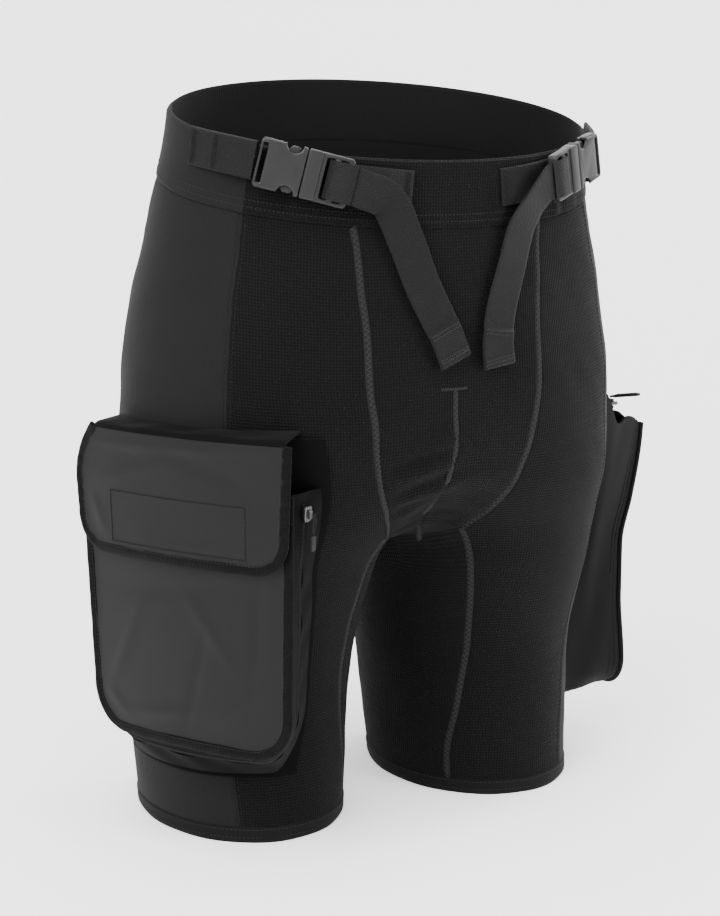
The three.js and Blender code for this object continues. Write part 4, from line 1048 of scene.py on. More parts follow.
a, z = face_grid(cargo_taper, CARGO_BOTTOM, MOUTH_TOP, CARGO_CORNER, BINDING_WIDTH - 0.8, 90, 110)
sag = nylon_creases(a, z, [(-50, 140, 62, 34, 5, 1.1), (10, 120, 74, 40, 4.5, -1.2),
                           (48, 112, 38, 30, 5, 1.1),
                           (24, 160, -52, 26, 5, 0.9), (-20, 96, 12, 34, 5, 0.9), (60, 165, 84, 40, 5, -1.0),
                           (-64, 100, -40, 22, 5, 0.8), (0, 186, 6, 60, 7, -0.7)])
edge_room = np.clip((HALF_CARGO - 8 - np.abs(a)) / 20, 0, 1) * np.clip((z - CARGO_BOTTOM) / 22, 0, 1)
cloth_sheet("cargo_pocket_face_cloth", on_face(a, z, -CARGO_FABRIC / 2 + sag * edge_room), CARGO_FABRIC,
            CORDURA, "coated_nylon", ["cargo_pocket_face"], waves=0.35, towards=LOOK)


def flap_half(z):
    return HALF_CARGO + 1.5 - 5 * np.clip((CARGO_TOP - z) / FLAP_LENGTH, 0, 1)


FLAP_BOTTOM = CARGO_TOP - FLAP_LENGTH


def tuck_corner(a, z):
    """The flap's rear upper corner is tucked in, where the flap folds over to the leg."""
    rise = np.clip((z - (CARGO_TOP - 40)) / 40, 0, 1)
    return a + 19 * rise ** 2 * np.clip(-a / HALF_CARGO, 0, 1) ** 2


a, z = face_grid(flap_half, FLAP_BOTTOM, CARGO_TOP, CARGO_CORNER - 6, BINDING_WIDTH - 0.8, 90, 70)
a = tuck_corner(a, z)
flap_sag = nylon_creases(a, z, [(-40, 262, 18, 40, 6, 0.8), (30, 272, -16, 36, 6, -0.7),
                                (64, 240, 70, 24, 5, 0.9),
                                (-70, 236, -62, 26, 5, 0.8), (0, 283, 2, 70, 4, 0.8),
                                (10, 216, 4, 46, 5, 0.6)])
room = np.clip((HALF_CARGO - 7 - np.abs(a)) / 16, 0, 1) * np.clip((z - FLAP_BOTTOM) / 18, 0, 1)
cloth_sheet("cargo_flap_cloth", on_face(a, z, FLAP_DEPTH + CARGO_FABRIC / 2 + flap_sag * room), CARGO_FABRIC,
            CORDURA, "coated_nylon", ["cargo_flap"], body="cargo_flap", waves=0.3, towards=LOOK)

u, v = grid(60, 110)
angle_front = root_front(48 + v * (CARGO_TOP - 48))
angle = CARGO_REAR + 3 + (angle_front - 3 - CARGO_REAR - 3) * u
z = 48 + v * (CARGO_TOP - 48)
# The backing takes the darker copy of the coated nylon, as painted shade.
cloth_sheet("cargo_pocket_back_cloth", on_cloth(-1, angle, z, ROOT_LIFT + BACK_THICK / 2 + 0 * z), BACK_THICK,
            SHADED_NYLON, "coated_nylon", ["cargo_pocket_back"], towards=LOOK)


def gusset(s, t, pucker=0.0):
    a, z = face_edge(s, BINDING_WIDTH / 2)[:2]
    root, face = root_point(s, GUSSET_LIFT + 0 * s), on_face(a, z, -CARGO_FABRIC - 0.6)
    point = root + (face - root) * t[..., None]
    across = face - root
    across /= np.linalg.norm(across, axis=-1, keepdims=True)
    out = np.cross(across, np.gradient(point, axis=1) if point.ndim == 3 else np.gradient(point, axis=0))
    out /= np.linalg.norm(out, axis=-1, keepdims=True)
    ripple = pucker * np.sin(s * 95 + 4 * t) * np.sin(np.pi * t) * (0.6 + 0.4 * np.sin(s * 31))
    return point + out * ripple[..., None], out


def gusset_strip(name, start, end, thick, material, slot, node, pucker):
    u, v = grid(14, 330)
    t = start + (end - start) * u
    middle, out = gusset(v, t, pucker)
    local_ripple = pucker * np.sin(np.pi * u)[..., None] * out * np.sin(v * 120)[..., None]
    return cloth_sheet(name, middle + local_ripple * 0.5, thick, material, slot, [node])


# The gusset strips take the darker copy of the coated nylon, as painted shade.
gusset_strip("cargo_gusset_leg_side", 0.0, 0.515, 1.4, SHADED_NYLON, "coated_nylon",
             "cargo_pocket_gusset_inner", 1.0)
gusset_strip("cargo_zip_tape", 0.51, 0.74, 1.3, TAPE, "binding_and_trim", "cargo_pocket_zip", 0.0)
gusset_strip("cargo_gusset_face_side", 0.735, 1.0, 1.4, SHADED_NYLON, "coated_nylon",
             "cargo_pocket_gusset_outer", 0.3)

u, v = grid(60, 14)
top_z = CARGO_TOP + 0.6
a = tuck_corner((2 * u - 1) * HALF_CARGO * 0.97, top_z + 0 * u)
outer_line = on_face(a, top_z + 0 * a, FLAP_DEPTH + CARGO_FABRIC)
inner_angle = CARGO_REAR - 4 + (root_front(np.array(CARGO_TOP)) + 3 - CARGO_REAR + 4) * u
inner_line = skin(-1, inner_angle, top_z, FABRIC + 0.8)
roof = inner_line + (outer_line - inner_line) * v[..., None]
roof[..., 2] += 1 + 3 * (1 - v) - 2.2 * np.clip((v - 0.8) / 0.2, 0, 1) ** 2
roof[..., 2] += 0.6 * np.sin(u * 21) * np.sin(np.pi * v)
# The pocket's top takes the darker copy of the coated nylon, as painted shade.
cloth_sheet("cargo_pocket_top_cloth", roof, CARGO_FABRIC, SHADED_NYLON, "coated_nylon", ["cargo_pocket_top"],
            towards=np.array([0, 0, 1.0]))
print("cargo cloth:", {k: [round(n, 3) for n in v] for k, v in SIZES.items()})

# %% [markdown]
# Binding tape folds over an edge, so its cross section is a flat oval. It is swept along
# the edge as a closed tube, and its ribs run across it.

# %% Bindings
def tube(name, line, side, out, wide, thick, material, slot, body=BODY, nodes=(), power=0.75, rounds=16):
    """A tube with an oval section swept along points. side and out are unit directions."""
    turn = np.linspace(0, 2 * np.pi, rounds, endpoint=False)
    c, s = np.cos(turn), np.sin(turn)
    x = np.sign(c) * np.abs(c) ** power * wide / 2
    y = np.sign(s) * np.abs(s) ** power * thick / 2
    ring = (line[:, None] + x[None, :, None] * side[:, None] + y[None, :, None] * out[:, None])
    count = len(line)
    points = np.concatenate([ring.reshape(-1, 3), line[:1], line[-1:]])
    index = np.arange(count * rounds).reshape(count, rounds)
    following = np.roll(index, -1, axis=1)
    quads = np.stack([index[:-1], following[:-1], following[1:], index[1:]], axis=-1).reshape(-1, 4)
    faces = quads.tolist() + [[index[0, (i + 1) % rounds], index[0, i],
                               count * rounds] for i in range(rounds)]
    faces += [[index[-1, i], index[-1, (i + 1) % rounds], count * rounds + 1] for i in range(rounds)]
    if volume_of(points, [f for f in faces if len(f) == 4]) < 0:
        faces = [f[::-1] for f in faces]
    v = np.concatenate([[0], np.linalg.norm(np.diff(line, axis=0), axis=-1).cumsum()])
    around = np.broadcast_to(turn / (2 * np.pi) * 2 * (wide + thick), (count, rounds))
    uv = np.stack([around, np.broadcast_to(v[:, None], (count, rounds))], axis=-1).reshape(-1, 2)
    uv = np.concatenate([uv, [[0, v[0]], [0, v[-1]]]])
    obj = to_object(name, points, faces, material, uv, sharp=80)
    return keep(obj, body, slot, *nodes)


def edge_binding(name, edge, depth, node, body=BODY, count=260, thick=3.4):
    s = np.linspace(0, 1, count)
    a, z, na, nz = edge(s)
    inward = BINDING_WIDTH / 2 + 0.3
    line = on_face(a - na * inward, z - nz * inward, depth + 0.2 * np.sin(s * 140) * np.sin(s * 37))
    out = on_face(a - na * inward, z - nz * inward, depth + 1) - on_face(a - na * inward, z - nz * inward,
                                                            depth)
    tangent = np.gradient(line, axis=0)
    side = np.cross(tangent, out)
    side /= np.linalg.norm(side, axis=-1, keepdims=True)
    out = np.cross(side, tangent)
    out /= np.linalg.norm(out, axis=-1, keepdims=True)
    out *= np.where(out @ LOOK < 0, -1, 1)[:, None]
    return tube(name, line, side, out, BINDING_WIDTH + 2.6, thick, BINDING, "binding_and_trim", body,
                [node]), line, out


def flap_edge(s):
    a, z, na, nz = u_path(s, flap_half, FLAP_BOTTOM, CARGO_TOP, CARGO_CORNER - 6)
    return tuck_corner(a, z), z, na, nz


edge_binding("cargo_face_binding", face_edge, -CARGO_FABRIC / 2 + 0.3, "cargo_pocket_binding")
edge_binding("cargo_flap_edge_binding", flap_edge, FLAP_DEPTH + CARGO_FABRIC / 2, "cargo_flap_binding",
             "cargo_flap")


def patch(name, depth, thick, node, body):
    u, v = grid(40, 16)
    middle = CARGO_TOP - 58 + (v - 0.5) * 34
    obj = cloth_sheet(name, on_face(8 + (u - 0.5) * 112, middle, depth + thick / 2), thick, HOOK,
                      "binding_and_trim", [node], body, towards=LOOK)
    return obj


patch("loop_patch_on_face", 0.3, 1.1, "cargo_pocket_loop_patch", BODY)
patch("hook_patch_in_flap", FLAP_DEPTH - 0.4 - 1.1, 1.1, "cargo_flap_hook_patch", "cargo_flap")

frame_z = CARGO_TOP - 58
corners = [(-54, frame_z - 19), (58, frame_z - 19), (58, frame_z + 16), (-54, frame_z + 16),
           (-54, frame_z - 19)]
rectangle = np.concatenate([np.linspace(p, q, 60)[:-1] for p, q in zip(corners[:-1], corners[1:])])
ra, rz = rectangle[:, 0], rectangle[:, 1]
flap_lift = FLAP_DEPTH + CARGO_FABRIC + 0.25 + nylon_creases(ra, rz, [
    (-40, 262, 18, 40, 6, 0.8), (30, 272, -16, 36, 6, -0.7), (64, 240, 70, 24, 5, 0.9),
    (-70, 236, -62, 26, 5, 0.8), (10, 216, 4, 46, 5, 0.6)])
box_line = on_face(ra, rz, flap_lift)
box_line += LOOK * soft_waves(box_line, 0.3)[:, None]
away = np.broadcast_to(LOOK, box_line.shape)
flap_lines = [(box_line, away)]
stitches("flap_patch_stitching", flap_lines, THREAD_DARK, pitch=2.6, length=2.2, radius=0.34,
         body="cargo_flap")


def inset_stitches(name, edge, inset, depth, body, thread):
    s = np.linspace(0.004, 0.996, 500)
    a, z, na, nz = edge(s)
    line = on_face(a - na * inset, z - nz * inset, depth)
    stitches(name, [(line, np.broadcast_to(LOOK, line.shape))], thread, pitch=2.8, length=2.2, radius=0.3,
             body=body)


inset_stitches("face_binding_stitching", face_edge, 5.4, 1.1, BODY, THREAD_MID)
inset_stitches("flap_binding_stitching", flap_edge, 5.4, FLAP_DEPTH + CARGO_FABRIC + 0.85, "cargo_flap",
               THREAD_MID)
print("bindings and patches made")

# %% [markdown]
# ## Zip teeth, sliders and pulls
# Coil teeth repeat along the tape, so the stitch tree lays them too: short thick threads
# turned square to the run. A slider is a small bevelled body with a bridge, and its pull is
# a moulded grip with cross ribs on the side pocket, and a doubled cord on the cargo pocket.

# %% Zip of the cargo pocket
s = np.linspace(0.01, 0.985, 700)
teeth_line, teeth_out = gusset(s, np.full(s.shape, 0.62), 0.0)
if ((teeth_out * (teeth_line - teeth_line.mean(0))).sum(-1)).mean() < 0:
    teeth_out = -teeth_out
for offset, tag in ((-0.02, "leg"), (0.02, "face")):
    line, _ = gusset(s, np.full(s.shape, 0.62 + offset), 0.0)
    stitches(f"cargo_zip_teeth_{tag}", [(line + teeth_out * 0.9, teeth_out)], RUBBER, pitch=1.5, length=1.9,
             radius=0.42, zigzag=76)


def outline_plate(name, outline, low, high, bevel, holes=()):
    """A flat plate of the outline (mm) between two depths, with rounded edges, as a mesh."""
    curve = bpy.data.curves.new(name + "_outline", "CURVE")
    curve.dimensions, curve.fill_mode = "2D", "BOTH"
    curve.extrude = (high - low) / 2 - bevel
    curve.bevel_depth, curve.bevel_resolution, curve.offset = bevel, 3, -bevel
    for ring in (outline, *holes):
        spline = curve.splines.new("POLY")
        spline.points.add(len(ring) - 1)
        for point, (x, y) in zip(spline.points, ring):
            point.co = (x, y, 0, 1)
        spline.use_cyclic_u = True
    holder = bpy.data.objects.new(name, curve)
    bpy.context.scene.collection.objects.link(holder)
    mesh = bpy.data.meshes.new_from_object(holder.evaluated_get(bpy.context.evaluated_depsgraph_get()))
    bpy.data.objects.remove(holder)
    mesh.transform(Matrix.Translation((0, 0, (low + high) / 2)))
    return mesh


def join_in_place(name, meshes, frame_matrix, material, body, slot, nodes):
    """Joins meshes made in mm in a local frame, and puts them in the model's frame."""
    bm = bmesh.new()
    for mesh in meshes:
        bm.from_mesh(mesh)
    bmesh.ops.remove_doubles(bm, verts=bm.verts, dist=0.0005)
    bmesh.ops.recalc_face_normals(bm, faces=bm.faces)
    bm.transform(frame_matrix)
    bm.transform(Matrix.Translation(Vector(MIDDLE)) @ Matrix.Scale(MM, 4))
    made = bpy.data.meshes.new(name)
    bm.to_mesh(made)
    bm.free()
    made.shade_smooth()
    made.set_sharp_from_angle(angle=np.radians(35))
    made.materials.clear()
    made.materials.append(material)
    obj = bpy.data.objects.new(name, made)
    bpy.context.scene.collection.objects.link(obj)
    return keep(obj, body, slot, *nodes)


def rounded_rectangle(x0, x1, y0, y1, radius, steps=5):
    ring = []
    for cx, cy, start in ((x1 - radius, y1 - radius, 0), (x0 + radius, y1 - radius, 90),
                          (x0 + radius, y0 + radius, 180), (x1 - radius, y0 + radius, 270)):
        ring += [(cx + radius * np.cos(np.radians(start + 90 * i / steps)),
                  cy + radius * np.sin(np.radians(start + 90 * i / steps))) for i in range(steps + 1)]
    return ring


def local_frame(x_axis, y_axis, z_axis, origin):
    m = Matrix.Identity(4)
    for column, axis in enumerate((x_axis, y_axis, z_axis, origin)):
        for row in range(3):
            m[row][column] = float(axis[row])
    return m


def slider_mesh(length=11.0, wide=8.0, thick=5.0):
    body = outline_plate("slider", rounded_rectangle(-length / 2, length / 2, -wide / 2, wide / 2, 2.4), 0.2,
                         thick * 0.55, 0.7)
    bridge = outline_plate("bridge", rounded_rectangle(-3.2, 3.2, -1.3, 1.3, 1.2), thick * 0.45,
                           thick - 0.2, 0.5)
    return [body, bridge]


def unit(v):
    return v / np.linalg.norm(v)


def cargo_slider_place():
    place = lambda s: (root_point(np.array([s]), np.array([GUSSET_LIFT]))[0] * 0.375
                       + on_face(*face_edge(np.array([s]), BINDING_WIDTH / 2)[:2],
                                 -CARGO_FABRIC - 0.6)[0] * 0.625)
    top, low = place(0.975), place(0.74)
    down = unit(low - top)
    a, z = face_edge(np.array([0.95]), BINDING_WIDTH / 2)[:2]
    across = unit(on_face(a, z)[0] - root_point(np.array([0.95]), np.array([ROOT_LIFT]))[0])
    out = unit(np.cross(across, down))
    out = -out if out @ AHEAD < 0 else out
    return down, unit(np.cross(out, down)), out, top + out * 2.2


down, side_way, out_way, origin = cargo_slider_place()
join_in_place("cargo_zip_slider_metal", slider_mesh(), local_frame(down, side_way, out_way, origin), METAL,
              "cargo_slider", "zip_metal", ["cargo_pocket_zip_slider"])


def cord_pull(name, origin, down, side, out, body, node, length=26.0):
    """Two strands of thin cord looped through the slider, melted together in a small grip."""
    t = np.linspace(0, 1, 60)
    half_gap = 1.1 * np.sin(np.pi * np.clip(t * 1.15, 0, 1)) + 0.35
    lines = []
    for sign in (-1, 1):
        line = origin + np.outer(t * (length - 9), down) + np.outer(sign * half_gap, side) + np.outer(
            0.5 * np.sin(t * 5), out)
        lines.append(line)
    meshes = []
    for i, line in enumerate(lines):
        obj = tube(f"{name}_strand_{i}", line, np.broadcast_to(side, line.shape),
                   np.broadcast_to(out, line.shape),
                   1.5, 1.5, WEB, "binding_and_trim", body, [], power=1.0, rounds=10)
    grip = outline_plate("grip", rounded_rectangle(length - 11, length, -2.4, 2.4, 1.8), -1.1, 1.1, 0.6)
    obj = join_in_place(f"{name}_grip", [grip], local_frame(down, side, out, origin), RUBBER, body,
                        "binding_and_trim", [node])
    return obj


cord_pull("cargo_pull", origin + out_way * 6.5 - down, down, side_way, out_way, "cargo_pull",
          "cargo_pocket_zip_pull")
print("cargo zip made")

# %% [markdown]
# ## The bellows pocket
# On the wearer's left a neoprene pocket stands out like a bellows: a face far from the leg,
# walls in front, below and behind, and a zip across the mouth. The wall is sewn on with a
# flange that lies on the thigh, and its outer edge is bound, with two rows of stitches.

# %% Bellows pocket geometry
SIDE_FRONT, SIDE_REAR, SIDE_TOP, SIDE_BOTTOM, SIDE_CORNER, SIDE_HALF = 79.0, 126.0, 258.0, 44.0, 26.0, 54.0
hip = section(190.0)
side_thigh = float(max(0, hip[0]) + hip[1]) + FABRIC
side_wave = smooth([(30, -2), (50, -3), (74, -4), (123, -8), (163, -8), (202, 1), (240, 8), (262, 10)])
side_middle = float(skin(1, 100, 150.0)[1]) + 6


def side_face_x(z):
    return side_thigh + 50 - 2 + side_wave(z)


def side_edge(s, inset=0.0):
    return u_path(1 - s, lambda z: SIDE_HALF - inset + 0 * z, SIDE_BOTTOM + inset, SIDE_TOP,
                  SIDE_CORNER - inset)


def on_side(a, z, depth=0.0):
    a, z, depth = np.broadcast_arrays(np.asarray(a, float), z, depth)
    return np.stack([side_face_x(z) + depth, side_middle - a, z + 0.0], axis=-1)


def side_root(s, lift):
    x, z = u_path(1 - s, lambda q: np.ones(np.shape(q)), 0.0, 1.0, 0.16)[:2]
    height = 40 + (292 - 40) * z
    middle_angle = (SIDE_FRONT + SIDE_REAR) / 2
    edge = np.where(x > 0, SIDE_FRONT, SIDE_REAR)
    return on_cloth(1, middle_angle + (edge - middle_angle) * np.abs(x), height, lift)


def side_wall(s, t):
    a, z = side_edge(s, BINDING_WIDTH / 2)[:2]
    root, face = side_root(s, GUSSET_LIFT + 0 * s), on_side(a, z, -CARGO_FABRIC - 1)
    point = root + (face - root) * t[..., None]
    high = np.clip(np.where(s < 0.5, RUN - s, s - 1 + RUN) / RUN, 0, 1) ** 4
    point[..., 2] -= 16 * high * np.exp(-(((t - 0.45) / 0.2) ** 2))
    return point


u, v = grid(60, 60)
ends = 5 * np.abs(2 * v - 1) ** 6
angle = SIDE_FRONT - 7 + ends + (SIDE_REAR + 7 - ends - SIDE_FRONT + 7 - ends) * u
z = 31 + (306 - 31) * v
cloth_sheet("side_pocket_back_cloth", on_cloth(1, angle, z, ROOT_LIFT + BACK_THICK / 2 + 0 * z), BACK_THICK,
            FACING, "smooth_neoprene", ["side_pocket_back"])

u, v = grid(46, 300)
wall = side_wall(v, u)
out = normals_of(wall)
long_fold = (1.5 * np.sin(np.pi * u) * np.exp(-((u - 0.35 - 0.25 * v) / 0.12) ** 2) * np.sin(np.pi * np.clip(v / 0.3, 0, 1))
             + 0.7 * np.sin(np.pi * u) * np.sin(u * 9 + v * 26))
bottom_folds = 1.2 * np.sin(v * 150) * np.exp(-((v - 0.5) / 0.1) ** 2) * np.sin(np.pi * u)
wall = wall - out * (long_fold + bottom_folds)[..., None]
cloth_sheet("side_pocket_wall_cloth", wall, 2.0, FACING, "smooth_neoprene", ["side_pocket_wall"])

u, v = grid(60, 110)
bend = SIDE_BOTTOM + SIDE_CORNER
curved = v < 0.4
inset = BINDING_WIDTH - 0.8
z = np.where(curved, bend - (SIDE_CORNER - inset) * np.cos(np.pi / 2 * v / 0.4),
             bend + (SIDE_TOP - bend) * (v - 0.4) / 0.6)
half = rounded_half(SIDE_HALF - inset + 0 * z, SIDE_BOTTOM + inset, SIDE_CORNER - inset, z)
a = (2 * u - 1) * half
room = np.clip((SIDE_HALF - 6 - np.abs(a)) / 16, 0, 1) * np.clip((z - SIDE_BOTTOM) / 18, 0, 1)
cloth_sheet("side_pocket_face_cloth", on_side(a, z, -CARGO_FABRIC / 2 + nylon_creases(
    a, z, [(-20, 150, 80, 50, 8, 1.0), (20, 110, 66, 40, 7, -0.8), (0, 220, 8, 40, 9, 0.8)]) * room),
    CARGO_FABRIC, FACING, "smooth_neoprene", ["side_pocket_face"], waves=0.4)

s = np.linspace(0, 1, 280)
a, z, na, nz = side_edge(s)
middle_of_tape = BINDING_WIDTH / 2 + 0.2
line = on_side(a - na * middle_of_tape, z - nz * middle_of_tape, -CARGO_FABRIC / 2 + 0 * a)
out = np.broadcast_to(np.array([1.0, 0, 0]), line.shape)
tangent = np.gradient(line, axis=0)
side_way2 = np.cross(tangent, out)
side_way2 /= np.linalg.norm(side_way2, axis=-1, keepdims=True)
out = np.cross(side_way2, tangent)
out /= np.linalg.norm(out, axis=-1, keepdims=True)
tube("side_pocket_edge_binding", line, side_way2, out, BINDING_WIDTH + 2.4, 3.4, FACING,
     "binding_and_trim", BODY,
     ["side_pocket_binding"])
for tag, share in (("near", 0.86), ("far", 0.93)):
    stitch_line = side_wall(s, share + 0 * s)
    grid2 = np.stack([side_wall(s, share - 0.03 + 0 * s), stitch_line, side_wall(s, share + 0.03 + 0 * s)])
    away = normals_of(grid2)[1]
    centre_point = np.array([side_face_x(150.0) - 20, side_middle, 150.0])
    away = np.where(((stitch_line - centre_point) * away).sum(-1, keepdims=True) < 0, -away, away)
    stitches(f"side_pocket_edge_stitching_{tag}", [(stitch_line + away * 1.15, away)], THREAD_DARK, pitch=2.8,
             length=2.3, radius=0.32)

# %% [markdown]
# The flange is the turned edge that lies on the leg round the pocket's root. It is a band of
# the same cloth with a rounded edge and two rows of stitches.

# %% Flange and mouth of the bellows pocket
def flange_point(s, t, lift):
    x, z, nx, nz = u_path(1 - s, lambda q: np.ones(np.shape(q)), 0.0, 1.0, 0.16)
    height = 40 + (292 - 40) * z + nz * t * 9 - 3 * t * (z > 0.9)
    middle_angle = (SIDE_FRONT + SIDE_REAR) / 2
    edge = np.where(x > 0, SIDE_FRONT, SIDE_REAR)
    angle = middle_angle + (edge - middle_angle) * np.abs(x)
    angle = angle - nx * degrees_for(9.0, height) * t
    return on_cloth(1, angle, np.maximum(height, HEM_HEIGHT + 14), lift)


s = np.linspace(0.0, 1.0, 260)
u, v = grid(12, 260)
flange_low = flange_point(v, 1 - u, ROOT_LIFT - 0.7 + 0 * u)
flange_top = flange_point(v, 1 - u, ROOT_LIFT + 1.9 - 1.1 * np.abs(2 * u - 1) ** 6)
keep(sheet("side_pocket_flange", flange_low, flange_top, FACING), BODY, "smooth_neoprene")
for tag, share in (("outer", 0.72), ("inner", 0.3)):
    line = flange_point(s, share + 0 * s, ROOT_LIFT + 1.95 + 0 * s)
    near = flange_point(s, share + 0 * s, ROOT_LIFT + 3.0 + 0 * s) - line
    stitches(f"side_pocket_flange_stitching_{tag}",
             [(line, near / np.linalg.norm(near, axis=-1, keepdims=True))],
             THREAD_DARK if tag == "inner" else THREAD_MID, pitch=3.0, length=2.3, radius=0.3)

SLIT_AT, MOUTH_INSET, SLIT_HALF = 0.47, 2.6, 7 / 2 / 50


def mouth_point(t, u):
    t, u = np.broadcast_arrays(np.asarray(t, float), u)
    front, rear = side_wall(0 * t, t), side_wall(0 * t + 1, t)
    z = side_root(np.array(0.0), np.array(0.0))[2] * (1 - t) + SIDE_TOP * t - 6
    run = (rear - front) * np.array([1, 1, 0])
    run /= np.linalg.norm(run, axis=-1, keepdims=True)
    far = np.linalg.norm(rear - front, axis=-1)
    point = front + run * (MOUTH_INSET + (far - 2 * MOUTH_INSET) * u)[..., None]
    centre, half_width, half_depth, middle = section(z)
    leg_x = centre + half_width * np.sqrt(np.clip(1 - ((point[..., 1] - middle) / half_depth) ** 2, 0,
                                                  1)) + GUSSET_LIFT + 1
    return np.stack([np.where(t < SLIT_AT, np.maximum(point[..., 0], leg_x), point[..., 0]),
                     point[..., 1], z], axis=-1)


for name, start, end, node in (("side_zip_tape_outer", SLIT_AT + SLIT_HALF, 0.95, "side_pocket_tape_outer"),
                               ("side_zip_tape_inner", SLIT_AT - SLIT_HALF, 0.05, "side_pocket_tape_inner")):
    u, v = grid(60, 10)
    tape = mouth_point(start + (end - start) * v, u)
    tape[..., 2] += 0.8 + 0.4 * np.sin(u * 17) * np.sin(np.pi * v)
    cloth_sheet(name, tape, 1.6, TAPE, "binding_and_trim", [node])
    u1 = np.linspace(0.03, 0.97, 400)
    teeth = mouth_point(np.full(u1.shape, start + (end - start) * 0.06), u1) + np.array([0, 0, 2.0])
    stitches(f"{name}_teeth", [(teeth, np.broadcast_to(np.array([0, 0, 1.0]), teeth.shape))], RUBBER,
             pitch=1.5,
             length=1.9, radius=0.45, zigzag=78)

backward = unit(mouth_point(SLIT_AT, 1.0) - mouth_point(SLIT_AT, 0.0))
side_dir = unit(np.cross(np.array([0, 0, 1.0]), backward))
slider_at = mouth_point(SLIT_AT, 0.0) + backward * 6.5 + np.array([0, 0, 4.2])
join_in_place("side_zip_slider_metal", slider_mesh(),
              local_frame(backward, side_dir, np.cross(backward, side_dir),
              slider_at), METAL, "side_slider", "zip_metal", ["side_pocket_zip_slider"])
forward = unit(np.array([0.35, -0.9, 0.15]))
pull_side = unit(np.cross(np.array([0, 0, 1.0]), forward))
pull_up = np.cross(forward, pull_side)
grip = [outline_plate("tab", rounded_rectangle(3, 26, -2.6, 2.6, 1.8), -1.1, 1.1, 0.5),
        outline_plate("neck", rounded_rectangle(-0.6, 6, -1.4, 1.4, 1.2), -0.8, 0.8, 0.4)]
grip += [outline_plate("rib", rounded_rectangle(x, x + 1.3, -2.4, 2.4, 0.5), 0.6, 1.6,
                       0.3) for x in np.arange(6, 24, 2.6)]
join_in_place("side_zip_pull_tab", grip, local_frame(forward, pull_side, pull_up,
                                                     slider_at + np.array([0, 0, 6.5])),
              RUBBER, "side_pull", "binding_and_trim", ["side_pocket_zip_pull"])
print("bellows pocket made")

# %% [markdown]
# ## Straps and side-release buckles
# The buckle's socket is a moulded shell with round finger cut-outs above and below, and an
# end bar that holds the webbing. The tongue has two sprung arms and ends in a two-bar
# ladder lock. They are drawn as flat outlines with rounded edges, as the real mould is.

# %% Buckles
strap_height = smooth([(10, 449), (26, 453.5), (52, 469), (76.5, 478)])
BUCKLE_REAR, BUCKLE_FRONT = 52, 26
H, T = 16.0, 4.5


def buckle_axes(side):
    rear, front = (skin(side, a, float(strap_height(a))) for a in (BUCKLE_REAR, BUCKLE_FRONT))
    along = unit(front - rear)
    middle = (BUCKLE_REAR + BUCKLE_FRONT) / 2
    up = unit(np.cross(out_of(side, middle, strap_height(middle)), along))
    out = unit(np.cross(along, up))
    return along, up, out, skin(side, middle, strap_height(middle), 10.5)


def arc(cx, cy, radius, start, end, steps=14):
    turn = np.radians(np.linspace(start, end, steps))
    return [(cx + radius * np.cos(a), cy + radius * np.sin(a)) for a in turn]


def socket_outline(left=-31.0, right=-1.0, half=H, notch=5.6, notch_x=-9.5):
    """The socket's long edges have a round finger cut-out each, and it narrows behind them."""
    upper = [(right, half - 2.2)] + arc(right - 1.6, half - 1.6, 1.6, 0, 90, 5)
    upper += [(notch_x + notch + 0.6, half)] + arc(notch_x, half + 0.2, notch, -2, -178, 16)
    upper += [(notch_x - notch - 0.8, half - 0.2), (left + 6, half - 0.4)]
    upper += arc(left + 2.2, half - 2.8, 2.2, 90, 180, 5)
    lower = [(x, -y) for x, y in reversed(upper)]
    return upper + lower


def buckle(side, hand):
    along, up, out, origin = buckle_axes(side)
    place = local_frame(along, up, out, origin)
    slot_hole = rounded_rectangle(-29.4, -26.2, -12.9, 12.9, 0.8)
    front = outline_plate("front", socket_outline(), 2.0, T, 1.0, [slot_hole])
    rear = outline_plate("rear", socket_outline(), -T, -2.0, 1.0, [slot_hole])
    rails = [outline_plate("rail", rounded_rectangle(-30, -17, y, y + 2.6, 1.0), -2.6, 2.6,
                           0.3) for y in (-H, H - 2.6)]
    core = outline_plate("core", rounded_rectangle(-25.2, -21, -H + 0.6, H - 0.6, 1.0), -2.6, 2.6, 0.3)
    lips = [outline_plate("lip", rounded_rectangle(-4.0, -1.2, y, y + 2.0, 0.6), -2.6, 2.6,
                          0.3) for y in (-H, H - 2.0)]
    join_in_place(f"buckle_socket_{hand}_shell", [front, rear, core, *rails, *lips], place, ACETAL, BODY,
                  "black_acetal", [f"buckle_socket_{hand}"])
    reach = 13.4
    lock = outline_plate("lock", [(8.2, -H), *arc(27.4, -H + 2.6, 2.6, -90, 0, 6),
                                  *arc(27.4, H - 2.6, 2.6, 0, 90, 6), (8.2, H)],
                         -3.2, 3.2, 1.0, [rounded_rectangle(12, 17, -reach, reach, 1.2),
                                          rounded_rectangle(21, 26, -reach, reach, 1.2)])
    base = outline_plate("base", rounded_rectangle(-0.4, 9.4, -H, H, 1.6), -T, T, 1.1)
    blade = outline_plate("blade", rounded_rectangle(-19, 2, -2.6, 2.6, 1.4), -1.7, 1.7, 0.6)
    grips = [outline_plate("bar", rounded_rectangle(17.2, 20.8, -reach, reach, 1.0), 1.6, 4.0, 0.8)]
    join_in_place(f"buckle_tongue_{hand}_lock", [lock, base, blade, *grips], place, ACETAL, f"tongue_{hand}",
                  "black_acetal", [f"buckle_tongue_{hand}"])
    for edge, name in ((-side, "upper"), (side, "lower")):
        root_y, tip_y = 8.6 * edge, (H - 1.0) * edge
        arm = [(-0.7, 8.4 * edge), (-0.7, 11.2 * edge), (-5.2, 11.4 * edge), (-5.6, 14.0 * edge)]
        arm += [(-7.0, tip_y), (-11.4, tip_y - 0.2 * edge), (-12.9, 12.6 * edge),
                (-12.9, root_y + 0.4 * edge),
                (-9.0, 9.2 * edge)]
        join_in_place(f"buckle_arm_{name}_{hand}_spring", [outline_plate("arm", arm, -1.8, 1.8, 0.5)],
                      place, ACETAL,
                      f"arm_{name}_{hand}", "black_acetal", [f"buckle_arm_{name}_{hand}"])
    return along, up, out, origin


